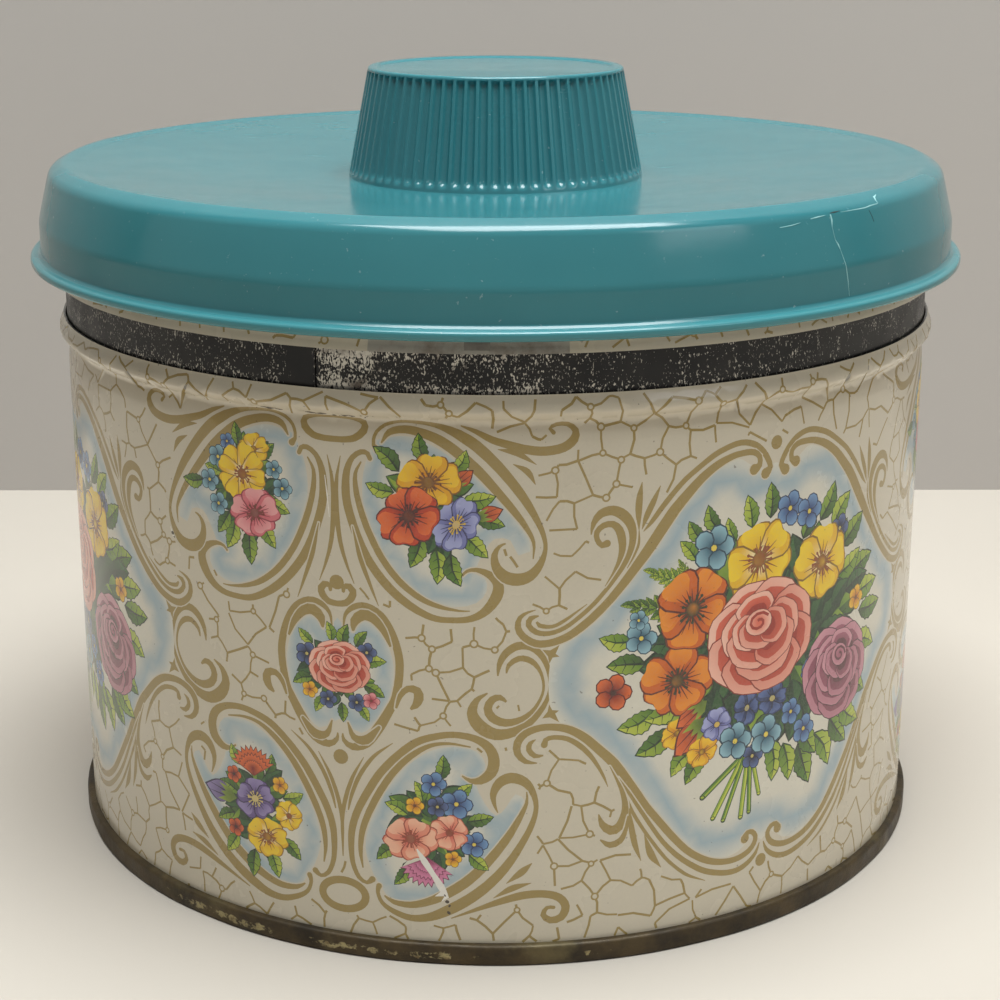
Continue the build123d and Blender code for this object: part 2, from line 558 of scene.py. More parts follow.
class Sheet:
    """Printed areas in the order of printing, the later over the earlier, in millimetres.

    Attributes:
        areas: Outline of each area and the number of its paint.
        paints: Each paint, how far it was moved along, and -1 if it was mirrored before that.
        marks: Middle and radius of spots that crackle lines keep away from.
        fields: Outlines that crackle lines stay out of.
        soft: Places where the soft colours need points of their own.
    """

    def __init__(self) -> None:
        """Starts an empty sheet."""
        self.areas: list[tuple[np.ndarray, int]] = []
        self.paints: list[tuple[Paint, float, float]] = []
        self.marks: list[Knot] = []
        self.fields: list[np.ndarray] = []
        self.soft: list[Point] = []

    def paint(self, paint: Paint) -> int:
        """Takes in a paint and returns its number."""
        self.paints.append((paint, 0.0, 1.0))
        return len(self.paints) - 1

    def area(self, outline: Iterable[Point], paint: Paint) -> None:
        """Prints a closed outline that doesn't cross itself."""
        points = np.array(list(outline), float)
        following = np.roll(points, -1, 0)
        if np.sum(points[:, 0] * following[:, 1] - following[:, 0] * points[:, 1]) < 0:
            points = points[::-1]
        self.areas.append((points, self.paint(paint)))

    def stroke(self, knots: Sequence[Knot], paint: Paint, step: float = 0.8) -> None:
        """Prints a swelling stroke.

        Args:
            knots: Place and full width at each knot of the stroke.
            paint: Paint of the stroke.
            step: Greatest length of one face along it.
        """
        line = smooth_path(knots, step)
        along = np.gradient(line[:, :2], axis=0)
        along /= np.maximum(np.hypot(along[:, 0], along[:, 1]), 1e-9)[:, None]
        side = np.column_stack([-along[:, 1], along[:, 0]]) * np.maximum(line[:, 2:3], 0.06) / 2
        left, right = line[:, :2] + side, line[:, :2] - side
        number = self.paint(paint)
        for k in range(len(line) - 1):
            quad = np.array([right[k], right[k + 1], left[k + 1], left[k]])
            halves = [quad[[0, 1, 2]], quad[[0, 2, 3]]]
            good = [h for h in halves if np.cross(h[1] - h[0], h[2] - h[0]) > 1e-4]
            self.areas += [(quad, number)] if len(good) == 2 else [(h, number) for h in good]
        for end, width in ((line[0, :2], line[0, 2]), (line[-1, :2], line[-1, 2])):
            if width > 0.45:
                self.areas.append((end + disc(width / 2, 10), number))

    def stamp(self, other: "Sheet", shift: float = 0.0, flip: bool = False) -> None:
        """Prints another sheet on this one, moved along, or mirrored and then moved."""
        base = len(self.paints)
        sign = -1.0 if flip else 1.0
        self.paints += [(paint, shift + sign * along, sign * way) for paint, along, way in other.paints]
        for points, number in other.areas:
            placed = points * (sign, 1.0) + (shift, 0.0)
            self.areas.append((placed[::-1] if flip else placed, base + number))
        self.marks += [(sign * x + shift, z, radius) for x, z, radius in other.marks]
        self.fields += [outline * (sign, 1.0) + (shift, 0.0) for outline in other.fields]
        self.soft += [(sign * x + shift, z) for x, z in other.soft]

    def colours(self, number: int, points: np.ndarray) -> np.ndarray:
        """Gives a paint's colour at points of this sheet."""
        paint, shift, way = self.paints[number]
        return paint((points - (shift, 0.0)) * (way, 1.0))


def disc(radius: float, sides: int, squash: float = 1.0, turn: float = 0.0) -> np.ndarray:
    """Outline of a disc, or an oval, round the origin."""
    a = np.arange(sides) * 2 * math.pi / sides
    oval = np.column_stack([radius * np.cos(a), radius * squash * np.sin(a)])
    c, s = math.cos(turn), math.sin(turn)
    return oval @ np.array([[c, s], [-s, c]])


@dataclass(frozen=True)
class Tints:
    """Inks of one flower: its shaded root, its body, its lit rim, its outline and its eye."""

    root: Colour
    body: Colour
    rim: Colour
    line: Colour
    eye: Colour

    @classmethod
    def of(cls, root: str, body: str, rim: str, line: str, eye: str = "3E3A1A") -> "Tints":
        """Tints of five display colours."""
        return cls(ink(root), ink(body), ink(rim), ink(line), ink(eye))


class Palette(Enum):
    """Inks of the printed flowers and leaves."""

    CORAL = Tints.of("A02818", "DC6248", "F7C4AE", "84281C")
    MAUVE = Tints.of("5E2030", "A2526A", "D294A0", "441826")
    POPPY = Tints.of("8E2E0A", "D0600C", "EA8C1E", "5E220A", "2C3418")
    YELLOW = Tints.of("F8EBBE", "E6B206", "F4CE1C", "86600E", "8A4210")
    GOLDEN = Tints.of("C87408", "E4A408", "F4C41E", "82500C", "6E3C10")
    SCARLET = Tints.of("7E160A", "C23A12", "E46A2C", "561208", "3C0E06")
    PINK = Tints.of("B83A4C", "DA6E78", "EDA2A2", "8C2636", "6E2C18")
    SALMON = Tints.of("C8423A", "E58C70", "F3B898", "9A3A28", "8C3A1C")
    MAGENTA = Tints.of("8E2450", "B8447A", "D880A4", "661A3C", "5A1430")
    PURPLE = Tints.of("3E2A56", "67528A", "9484B4", "2A1C40", "D8C070")
    VIOLET = Tints.of("4C4C84", "7478B0", "A4A8D2", "30305C", "D8B23C")
    SKY = Tints.of("2C5C72", "5E93A8", "93BCC8", "1E3E50", "E6CC50")
    BLUE = Tints.of("26447A", "456E9E", "7098C2", "162A50", "DEC44E")
    NAVY = Tints.of("161F40", "30406E", "566A9C", "0E152C", "C0AE64")
    LEAF = Tints.of("264618", "557F24", "9FB234", "182E12")
    FRESH = Tints.of("44701E", "88A42A", "C2C848", "223E16")
    DUSK = Tints.of("14301C", "234A26", "3F6C34", "0E2214")


class Bloom(Enum):
    """Kinds of drawn flower and leaf."""

    ROSE = "rose"
    OPEN = "open"
    DAISY = "daisy"
    FLORET = "floret"
    FRILL = "frill"
    BUD = "bud"
    LEAF = "leaf"
    SHADOW = "shadow"
    SPRIG = "sprig"
    STEM = "stem"


@dataclass(frozen=True)
class Flower:
    """One flower of a bouquet: its kind, inks, place, size, turn in degrees and flattening."""

    bloom: Bloom
    palette: Palette
    x: float
    z: float
    size: float
    turn: float = 0.0
    squash: float = 1.0

    @property
    def place(self) -> Point:
        """Place of the flower's centre, or of a leaf's root."""
        return self.x, self.z


class Bouquet(Sheet):
    """A bunch of drawn garden flowers."""

    def __init__(self, flowers: Sequence[Flower], seed: int) -> None:
        """Draws the flowers in their order, with small chance variations from the seed."""
        super().__init__()
        self.chance = random.Random(seed)
        for flower in flowers:
            getattr(self, flower.bloom.value)(flower)

    def lobe(
        self, flower: Flower, angle: float, spread: float, reach: float, notch: float, sides: int,
    ) -> np.ndarray:
        """Outline of one petal that fans out from the flower's centre.

        Args:
            flower: Flower that the petal belongs to.
            angle: Way that it points, in radians.
            spread: Half the angle that it takes up, in radians.
            reach: Its length.
            notch: Depth of the notch in its rim, as a share of its length.
            sides: Points along its rim.
        """
        ripple = self.chance.uniform(0, 6)
        ways = np.linspace(-spread, spread, sides)
        share = ways / spread
        r = reach * (1 - 0.3 * share**4) * (1 - notch * np.exp(-((share / 0.28) ** 2)))
        r *= 1 + 0.025 * np.sin(ways * 11 + ripple)
        fan = np.column_stack([r * np.cos(ways + angle), r * np.sin(ways + angle)])
        waist = 0.16 * reach
        root = [(waist * math.cos(angle + s), waist * math.sin(angle + s)) for s in (1.2, 3.14, -1.2)]
        return self.seat(flower, np.vstack([fan, root]))

    def seat(self, flower: Flower, points: np.ndarray) -> np.ndarray:
        """Flattens a drawn outline, turns it and moves it to the flower's place."""
        c, s = math.cos(math.radians(flower.turn)), math.sin(math.radians(flower.turn))
        return (points * (1.0, flower.squash)) @ np.array([[c, s], [-s, c]]) + flower.place

    def put(self, flower: Flower, outline: np.ndarray, paint: Paint) -> None:
        """Prints an outline that is drawn round the flower's own centre."""
        self.area(self.seat(flower, outline), paint)

    def line(
        self, ends: Iterable[np.ndarray], widths: Sequence[float], paint: Paint, step: float = 9,
    ) -> None:
        """Prints a stroke through a few places, as wide at each as widths says."""
        self.stroke([(*end, width) for end, width in zip(ends, widths)], paint, step)

    def open(
        self, flower: Flower, petals: int = 5, notch: float = 0.12, eye: float = 0.17, veins: int = 5,
    ) -> None:
        """Draws an open flower, with streaks in its throat and stamens."""
        t = flower.palette.value
        place, size = flower.place, flower.size
        order = list(range(petals))
        self.chance.shuffle(order)
        small = size < 3.2
        for k in order:
            angle = 2 * math.pi * k / petals + self.chance.uniform(-0.12, 0.12)
            spread = math.pi / petals * self.chance.uniform(1.1, 1.32)
            reach = size * self.chance.uniform(0.9, 1.06)
            outline = self.lobe(flower, angle, spread, reach, notch, 9 if small else 13)
            middle = outline.mean(0)
            petal = outline - middle
            self.area(middle + petal * 1.1, Flat(t.line))
            self.area(outline, Wash(t.root, t.body, place, size * 0.1, size * 0.5))
            lit = middle + petal * 0.72 + (middle - place) * 0.1 + (-0.03 * size, 0.04 * size)
            self.area(lit, Wash(t.body, t.rim, place, size * 0.3, size * 0.72))
            streak = Flat(t.eye if flower.palette is Palette.YELLOW else t.line)
            for v in range(2 if small else veins):
                way = angle + (v - (veins - 1) / 2) * spread * 0.36
                ends = self.ray(way, 0.16 * reach, self.chance.uniform(0.36, 0.66) * reach)
                self.line(self.seat(flower, ends), (0.05 * size, 0.0), streak)
        self.put(flower, disc(eye * size * 1.25, 12), Flat(t.line))
        self.put(flower, disc(eye * size, 10), Wash(t.rim, t.eye, place, 0, eye * size))
        if small:
            return
        for k in range(13):
            way = 2 * math.pi * k / 13 + self.chance.uniform(-0.14, 0.14)
            ends = self.seat(flower, self.ray(way, eye * size, size * eye * self.chance.uniform(1.6, 2.2)))
            self.line(ends, (0.03 * size, 0.05 * size), Flat(t.eye))
            self.area(ends[1] + disc(size * 0.045, 5), Flat(t.eye))

    @staticmethod
    def ray(way: float, *reaches: float) -> np.ndarray:
        """Places on a line out of the centre, one at each distance."""
        return np.array([(math.cos(way) * reach, math.sin(way) * reach) for reach in reaches])

    def daisy(self, flower: Flower) -> None:
        """Draws a flower of many narrow petals."""
        self.open(flower, petals=9, notch=0.05, eye=0.15, veins=1)

    def floret(self, flower: Flower) -> None:
        """Draws a small five-petalled flower with a pale eye."""
        t, place, size = flower.palette.value, np.array(flower.place), flower.size
        wash = Wash(t.root, t.rim, flower.place, size * 0.25, size * 0.95)
        for k in range(5):
            angle = 2 * math.pi * k / 5 + self.chance.uniform(-0.1, 0.1)
            middle = self.seat(flower, np.array([(math.cos(angle), math.sin(angle))]) * size * 0.56)[0]
            self.area(middle + disc(size * 0.47, 9), Flat(t.line))
            self.area(middle + disc(size * 0.4, 9), wash)
        self.area(place + disc(size * 0.2, 7), Flat(t.line))
        self.area(place + disc(size * 0.14, 7), Flat(t.eye))

    def frill(self, flower: Flower) -> None:
        """Draws a carnation's fan, seen from the side."""
        t, size = flower.palette.value, flower.size
        ways = np.linspace(-1.15, 1.15, 21)
        teeth = 0.1 * np.array([(-1) ** n for n in range(21)])
        for ring, grow in enumerate((1.0, 0.74, 0.48)):
            r = size * grow * (1 + teeth * (1 - 0.2 * ring))
            fan = np.vstack([np.column_stack([r * np.cos(ways), r * np.sin(ways)]), [(-0.15 * size, 0)]])
            self.put(flower, fan * 1.06, Flat(t.line))
            self.put(flower, fan, Wash(t.root, t.rim, flower.place, 0.2 * size, grow * size))

    def bud(self, flower: Flower) -> None:
        """Draws a closed bud with its green cup; its tip points along the turn."""
        t, size, place = flower.palette.value, flower.size, flower.place
        u = np.linspace(0, 1, 9)
        half = 0.34 * np.sin(math.pi * u**0.8)
        body = np.vstack([np.column_stack([u, half]), np.column_stack([u, -half])[::-1][1:-1]]) * size
        self.put(flower, body * 1.08, Flat(t.line))
        self.put(flower, body, Wash(t.root, t.rim, place, 0, size))
        for offset in (-0.12, 0.12):
            ends = self.seat(flower, np.array([(0.15, offset * 0.6), (0.85, offset)]) * size)
            self.line(ends, (0.05 * size, 0), Flat(t.line))
        side = [(0.05, 0.24), (0.5, 0.26), (0.22, 0.08)]
        cup = np.array([(-0.2, 0), *side, (0.42, 0), *((x, -y) for x, y in side[::-1])])
        green = Palette.LEAF.value
        self.put(flower, cup * size, Wash(green.root, green.rim, place, 0, size * 0.5))

    def leaf(self, flower: Flower) -> None:
        """Draws a toothed leaf from its root; its tip points along the turn."""
        t, size, place = flower.palette.value, flower.size, flower.place
        bend = self.chance.uniform(-0.12, 0.12)
        steps = 13
        u = np.linspace(0, 1, steps)
        teeth = 1 + 0.075 * np.array([(-1) ** n for n in range(steps)])
        teeth[[0, -1]] = 1
        half = 0.24 * flower.squash * np.sin(math.pi * u**0.85) ** 0.9 * teeth
        rib = bend * np.sin(math.pi * u)
        upper, lower, middle = (np.column_stack([u, v]) * size for v in (rib + half, rib - half, rib))
        outline = np.vstack([upper, lower[::-1][1:-1]])
        heart = outline.mean(0)
        plain = replace(flower, squash=1.0)
        self.put(plain, heart + (outline - heart) * 1.1, Flat(t.line))
        self.put(plain, np.vstack([upper, middle[::-1][1:-1]]), Wash(t.body, t.rim, place, 0, size))
        self.put(plain, np.vstack([lower, middle[::-1][1:-1]]), Wash(t.root, t.body, place, 0, size))
        spine = self.seat(plain, middle[[0, steps // 2, steps - 2]])
        self.line(spine, (0.07 * size, 0.05 * size, 0.0), Flat(t.line), 2)
        for k in (3, 6, 9):
            for sign in (1, -1):
                tip = (u[k] + 0.1, rib[k] + sign * half[k] * 0.75)
                ends = self.seat(plain, np.array([(u[k], rib[k]), tip]) * size)
                self.line(ends, (0.03 * size, 0.0), Flat(t.line))

    def shadow(self, flower: Flower) -> None:
        """Draws a leaf that lies in the shadow behind the flowers."""
        t, size, place = flower.palette.value, flower.size, flower.place
        u = np.linspace(0, 1, 8)
        half = 0.22 * flower.squash * np.sin(math.pi * u**0.85)
        upper = np.column_stack([u, half]) * size
        lower = np.column_stack([u, -half])[::-1][1:-1] * size
        whole = np.vstack([upper, lower])
        plain = replace(flower, squash=1.0)
        self.put(plain, whole * (1.04, 1.2), Flat(t.line))
        self.put(plain, whole, Wash(t.root, t.body, place, 0, size))
        lit = np.vstack([upper * (0.94, 0.86), [(0.5 * size, 0.03 * size)]])
        self.put(plain, lit, Wash(t.body, t.rim, place, 0, size))

    def sprig(self, flower: Flower) -> None:
        """Draws a stalk with pairs of small leaves."""
        start, end = self.seat(flower, np.array([(0, 0), (flower.size, 0)]))
        self.line((start, end), (0.16, 0.08), Flat(flower.palette.value.root))
        for k in range(5):
            for sign in (1, -1):
                root = start + (end - start) * (0.2 + 0.17 * k)
                turn, size = flower.turn + sign * (48 - 5 * k), flower.size * (0.4 - 0.04 * k)
                self.leaf(Flower(Bloom.LEAF, flower.palette, *root, size, turn, 1.1))
        self.leaf(Flower(Bloom.LEAF, flower.palette, *end, flower.size * 0.3, flower.turn))

    def stem(self, flower: Flower) -> None:
        """Draws a cut stem from its root along the turn; the flattening is its width."""
        t = flower.palette.value
        way = self.ray(math.radians(flower.turn), 1.0)[0]
        side, wide = np.array([-way[1], way[0]]), flower.squash
        start = np.array(flower.place)
        end = start + way * flower.size
        for tone, width, shift in ((t.line, 1.0, 0.0), (t.body, 0.74, 0.0), (t.rim, 0.28, 0.12)):
            aside = side * shift * wide
            self.line((start + aside, end + aside), (width * wide, width * wide), Flat(tone))
        self.area(end + disc(wide * 0.5, 9, 0.6), Flat(t.line))
        self.area(end + disc(wide * 0.34, 8, 0.55), Flat(t.rim))

    def rose(self, flower: Flower) -> None:
        """Draws a full rose: lipped petals that lie over one another round a high, wound heart."""
        t, size = flower.palette.value, flower.size
        heart = np.array([-0.08, 0.3])
        petals = (
            (112, 0.6, 0.36, 0.5), (62, 0.56, 0.38, 0.46), (160, 0.62, 0.36, 0.46), (18, 0.62, 0.36, 0.46),
            (206, 0.62, 0.38, 0.48), (-28, 0.64, 0.36, 0.46), (246, 0.6, 0.38, 0.5), (-68, 0.6, 0.38, 0.5),
            (276, 0.44, 0.36, 0.5), (170, 0.4, 0.3, 0.38), (8, 0.42, 0.3, 0.38), (228, 0.34, 0.32, 0.42),
            (-46, 0.36, 0.32, 0.42), (100, 0.48, 0.22, 0.34), (188, 0.24, 0.26, 0.3),
            (262, 0.12, 0.28, 0.36), (-4, 0.24, 0.26, 0.3),
        )
        eye = tuple(self.seat(flower, heart[None] * size)[0])
        for way, away, along, across in petals:
            a = math.radians(way) + self.chance.uniform(-0.06, 0.06)
            out = np.array([math.cos(a), math.sin(a)])
            lit = 0.5 + 0.5 * math.cos(a - 2.3)
            middle = heart * (1 - away / 0.75) + out * away
            outline = disc(along, 20, across / along, a)
            outline *= 1 + 0.035 * np.sin(np.arange(20)[:, None] * 1.9 + self.chance.uniform(0, 6))
            rim = tuple(np.array(t.body) * 0.45 * (1 - lit) + np.array(t.rim) * (0.55 + 0.45 * lit))
            body = tuple(np.array(t.root) * 0.4 * (1 - lit) + np.array(t.body) * (0.6 + 0.4 * lit))
            far = float(np.hypot(*(middle + out * along - heart))) * size
            near = max(0.05 * size, far - 2 * along * size)
            self.put(flower, (middle + outline * 1.045) * size, Flat(t.line))
            self.put(flower, (middle + outline) * size, Wash(body, rim, eye, near, far, 0.8))
            inner = middle - out * along * 0.17
            scale = self.chance.uniform(0.76, 0.86)
            cup = Wash(t.root, body, eye, near, far - 0.1 * size, 1.2)
            self.put(flower, (inner + outline * scale) * size, cup)
            fold = inner - out * along * 0.22
            deep = Wash(t.line, t.root, eye, near, near + along * size)
            self.put(flower, (fold + outline * scale * 0.68) * size, deep)
        self.put(flower, (heart + disc(0.25, 16, 0.9)) * size, Flat(t.line))
        wound = Wash(t.body, t.rim, eye, 0.05 * size, 0.24 * size)
        self.put(flower, (heart + disc(0.235, 16, 0.9)) * size, wound)
        winding = []
        for k in range(13):
            a, r = 0.4 + k * 0.66, 0.2 * (1 - k / 15)
            spot = heart + (r * math.cos(a), r * 0.86 * math.sin(a))
            winding.append((*self.seat(flower, spot[None] * size)[0], size * 0.045))
        self.stroke(winding, Flat(t.root), 0.14 * size)


@dataclass(frozen=True)
class Scrollwork:
    """Gold ornament right of a vertical axis, drawn again left of it, in millimetres.

    Attributes:
        strokes: Swelling strokes, as place and width at each knot.
        leaves: Lens shapes, as their line and greatest width.
        dots: Middle and radius of each spot.
        rings: Middle, the two half widths and the line's width of each oval ring on the axis.
        marks: Plain outlines.
        windows: Outlines of the white fields that the ornament frames.
    """

    strokes: tuple[tuple[Knot, ...], ...] = ()
    leaves: tuple[tuple[tuple[Point, ...], float], ...] = ()
    dots: tuple[Knot, ...] = ()
    rings: tuple[tuple[float, float, float, float, float], ...] = ()
    marks: tuple[tuple[Point, ...], ...] = ()
    windows: tuple[tuple[Point, ...], ...] = ()


def both_sides(half: Sequence[Point]) -> tuple[Point, ...]:
    """Whole outline from its half on one side of the axis, from axis to axis."""
    return (*half, *((-x, z) for x, z in half[::-1][1:-1]))


GROUP = Scrollwork(
    strokes=(
        ((4.8, 69.1, 0.6), (4.5, 69.75, 0.65), (3.65, 69.9, 0.7), (2.5, 69.1, 0.7), (1.73, 67.4, 0.9),
         (1.5, 65.1, 1.1), (1.7, 62.9, 1.15), (2.4, 60.3, 1.15), (3.5, 57.4, 1.2), (4.9, 54.9, 1.2),
         (7, 52.3, 1.2), (9.6, 50.1, 1.1), (12.5, 48.6, 0.9), (15, 48.3, 0.8), (17.6, 48.6, 0.9),
         (19.5, 49.75, 1.2), (20.8, 51.7, 1.5), (20.9, 53.3, 1.3), (19.8, 54.5, 1), (18.2, 55.1, 0.6),
         (17, 54.9, 0.4), (16.4, 54.3, 0.3)),
        ((3.65, 68.65, 0.2), (2.85, 67.05, 0.5), (2.9, 64.8, 0.75), (3.5, 62.2, 0.85), (4.5, 59.4, 0.9),
         (6.1, 56.2, 0.9), (8.3, 53.3, 0.9), (10.9, 51.2, 0.8), (13.4, 50.1, 0.6), (16, 49.6, 0.3),
         (17.4, 49.6, 0.15)),
        ((0.9, 69.2, 0.1), (0.3, 66, 0.5), (0.2, 62, 0.7), (0.6, 58, 0.6), (1.4, 55, 0.4),
         (2.4, 52.4, 0.1)),
        ((2.3, 60.1, 0.1), (3.2, 56.2, 0.6), (4.4, 52.8, 0.5), (5.6, 49.7, 0.1)),
        ((6.3, 71.2, 0.2), (7.3, 72.6, 0.8), (9.3, 73.05, 1), (11.8, 72.6, 1.15), (14.1, 71.6, 1.3),
         (16.3, 70, 1.35), (18.6, 67.9, 1.3), (20.8, 65.4, 1.15), (22.7, 63.1, 1), (24.3, 60.9, 0.75),
         (25.4, 58.7, 0.45), (25.35, 56.5, 0.15)),
        ((5.8, 70.3, 0.9), (5.3, 70.9, 0.5), (5.3, 71.6, 0.45), (5.7, 72.6, 0.45), (6.8, 73.5, 0.45),
         (8.6, 74, 0.4), (10.9, 74, 0.45), (13.1, 73.7, 0.6), (15, 73.1, 1), (16.6, 72.3, 1.35),
         (18.4, 71.1, 1.45), (20.4, 69.2, 1.4), (22.3, 67, 1.3), (24.2, 64.4, 1.15), (25.7, 61.8, 0.85),
         (26.6, 59.7, 0.65), (26.9, 57.8, 0.55), (26.25, 55.8, 0.95), (25, 54.3, 1.4), (23.4, 53.8, 1.65),
         (21.8, 54.2, 1.6), (20.7, 55.5, 1.2), (20.5, 57.1, 0.8), (21.1, 58.2, 0.45), (21.9, 58.6, 0.2)),
        ((16.3, 73.7, 0.15), (18.2, 73, 0.6), (20.2, 72, 0.9), (22.1, 71.4, 1), (24.65, 70.7, 1.15),
         (26.9, 70.5, 1.2), (29.1, 70.9, 1.2), (30.4, 71.9, 1.15), (30.6, 73, 0.85), (29.6, 73.8, 0.6),
         (28.2, 73.8, 0.5), (27.4, 73.3, 0.45), (27.85, 72.8, 0.55)),
        ((0, 74.1, 0.3), (2.6, 74, 0.4), (4, 73.6, 0.8), (4, 72.6, 1), (2.8, 71.6, 0.9), (1.2, 71.3, 0.8),
         (0, 71.3, 0.8)),
        ((0, 49.5, 0.8), (1.2, 49.7, 0.9), (2, 50.5, 1), (2.2, 51.4, 1), (1.7, 52, 0.9), (0.9, 51.8, 0.7),
         (0.9, 51.3, 0.5)),
        ((0.8, 46.4, 0.2), (1.1, 48.15, 0.5), (2.3, 49.3, 0.8), (4, 49.6, 0.8), (5.9, 48.5, 0.9),
         (7.3, 46.2, 1), (8.15, 43.15, 1.1), (8.2, 40.5, 1.1), (7.65, 37.4, 1.1), (6.9, 35.7, 1.2),
         (5.35, 33, 1.4), (3.6, 30.7, 1.4), (1.7, 29.9, 1), (0.5, 30.7, 0.6), (0.35, 31.65, 0.2)),
        ((2.1, 46, 0.3), (2.3, 47.3, 1.2), (3.4, 48.3, 1.5), (4.8, 48, 1.3), (6.2, 46.4, 0.9),
         (7.1, 44.3, 0.3)),
        ((5.35, 33, 0.5), (3.6, 31.1, 1.3), (1.9, 31.3, 0.9), (1.1, 33.3, 0.2)),
        ((7.7, 35.9, 0.3), (8.3, 37.7, 0.7), (9.3, 38.7, 0.9), (10.5, 38.5, 1.2), (10.7, 37.4, 1.3),
         (10.2, 36.4, 0.9), (9.6, 35.9, 0.3)),
        ((4.1, 11.2, 0.9), (3.3, 10.6, 0.55), (2.2, 11.25, 0.65), (1.4, 13.2, 0.7), (1.2, 15.7, 0.85),
         (1.4, 18.3, 1), (2.2, 20.9, 1.05), (3.65, 23.75, 1.1), (5.4, 26.6, 1.1), (7.7, 29.2, 1.1),
         (10.2, 31.3, 1.05), (12.8, 32.3, 0.95), (15.35, 32.65, 0.9), (17.9, 32.2, 1), (19.7, 31, 1.3),
         (20.4, 29.2, 1.5), (20, 27.4, 1.5), (18.6, 26.3, 1.1), (17.3, 26.3, 0.6), (16.25, 26.95, 0.2)),
        ((2.8, 12.7, 0.2), (2.5, 15.1, 0.6), (2.8, 18, 0.85), (3.8, 20.9, 0.95), (5.4, 24.1, 1),
         (7.3, 27, 0.95), (9.6, 29.4, 0.85), (12.15, 31, 0.6), (14.7, 31.4, 0.4), (17.4, 31, 0.2)),
        ((5, 10.35, 0.8), (4.8, 9.4, 0.55), (5.4, 7.9, 0.6), (7, 6.8, 0.8), (9.3, 6.1, 0.95),
         (11.8, 6.4, 1.2), (14.4, 7.6, 1.5), (17, 9.2, 1.5), (19.5, 11.25, 1.4), (21.8, 13.8, 1.25),
         (23.7, 16.7, 1), (25.3, 19.9, 0.8), (25.9, 22.5, 0.65), (25.4, 24.7, 0.9), (24.3, 26.15, 1.3),
         (22.6, 26.7, 1.5), (21.1, 26, 1.3), (20.3, 24.4, 0.9), (20.5, 22.8, 0.45), (20.9, 21.8, 0.15)),
        ((5.7, 9, 0.2), (7, 8.2, 0.7), (9.3, 8, 0.95), (11.8, 8.7, 1.15), (14.4, 10.1, 1.4), (17, 12, 1.4),
         (19.5, 14.6, 1.3), (21.8, 17.65, 1.15), (23.5, 20.5, 0.85), (24.65, 23.1, 0.45),
         (24.65, 24.7, 0.15)),
        ((7.2, 31, 0.1), (4.6, 28.9, 0.5), (2.6, 26, 0.6), (1.4, 23, 0.5), (0.9, 20.8, 0.2)),
        ((3.2, 28.6, 0.1), (1.6, 25.6, 0.5), (0.5, 22.3, 0.6), (0, 19, 0.5), (0, 14, 0.15)),
        ((14.7, 6.4, 0.15), (17.6, 7.6, 0.5), (20.8, 8.85, 0.9), (24, 9.8, 1.15), (26.9, 9.95, 1.1),
         (29, 9.3, 1.15), (29.9, 7.9, 1.15), (29.3, 6.4, 1.1), (27.85, 6.05, 1), (26.9, 6.9, 0.8),
         (27.4, 7.9, 0.55), (28.3, 7.9, 0.5)),
        ((20.9, 40.85, 0.2), (21.1, 42.4, 0.7), (21.9, 43.9, 1), (23.4, 44.9, 1.1), (25.2, 44.7, 1),
         (26.7, 43.2, 0.8), (27.5, 41, 0.6), (27.6, 38.8, 0.5), (26.8, 36.6, 0.7), (25, 34.4, 1),
         (22.9, 33.1, 1.3), (20.6, 32.8, 1.6), (18.6, 33.9, 1.8), (17.6, 35.7, 1.4), (18.2, 37.5, 0.8),
         (19.6, 38.5, 0.2)),
        ((22, 41.2, 0.2), (22.3, 42.3, 0.6), (23.6, 43.2, 0.8), (25.2, 42.8, 0.8), (26.4, 41.2, 0.45),
         (26.75, 38.8, 0.35), (25.7, 36.4, 0.5), (24, 34.9, 0.8), (21.9, 34.4, 1.1), (20.2, 35.1, 1.2),
         (19.6, 36.4, 1.1), (20.2, 37.6, 1), (21.2, 37.9, 0.8), (22, 37.3, 0.3)),
    ),
    leaves=(
        (((20.9, 70.8), (23.3, 70.3), (25.7, 68.8)), 0.8),
        (((22.8, 68.9), (24.6, 67.9), (25.6, 66.2)), 0.8), (((22, 11.6), (24, 13.2), (25.4, 14.5)), 1),
        (((20.3, 9.5), (22.8, 10.9), (25.3, 11.6)), 0.9),
    ),
    dots=((0, 52.4, 1), (0, 28.3, 1.05)),
    rings=((0, 8.4, 3.1, 2.1, 1.1),),
    windows=(
        ((5.5, 71.5), (4.2, 68.5), (3.7, 65), (4.2, 61.5), (5.8, 57.5), (8.5, 53.6), (12, 51), (15.5, 50.1),
         (18.2, 50.7), (19.5, 52.3), (19.3, 54), (18, 54.6), (19.2, 57.5), (20.5, 59.2), (22.5, 59),
         (23.5, 57), (25, 57.5), (24.6, 59.8), (22.5, 62.8), (20, 65.6), (17, 68.2), (13.5, 70.8),
         (10, 72.2), (7.5, 72)),
        ((5.9, 9.3), (4.2, 12.1), (3.2, 15.6), (3.8, 19.1), (5.4, 23.1), (8.1, 27), (12, 30.2), (15.5, 31),
         (18.2, 30.4), (19.3, 28.6), (18.9, 26.9), (18, 26), (19.2, 23.1), (20.7, 21.4), (22, 22.6),
         (23.2, 24.4), (24.6, 23.1), (23.6, 20.2), (21.7, 17.2), (19.2, 14.2), (16, 11.3), (13, 9.2),
         (10, 8.2), (7.5, 8.1)),
        both_sides(((0, 47.6), (1.6, 46), (3, 47.6), (4.9, 47.2), (6.4, 45.2), (7.3, 42.8), (7.5, 40.2),
                    (7, 37.4), (6, 35.2), (4.4, 33), (3, 32), (1.8, 32.4), (0, 33.6))),
    ),
)

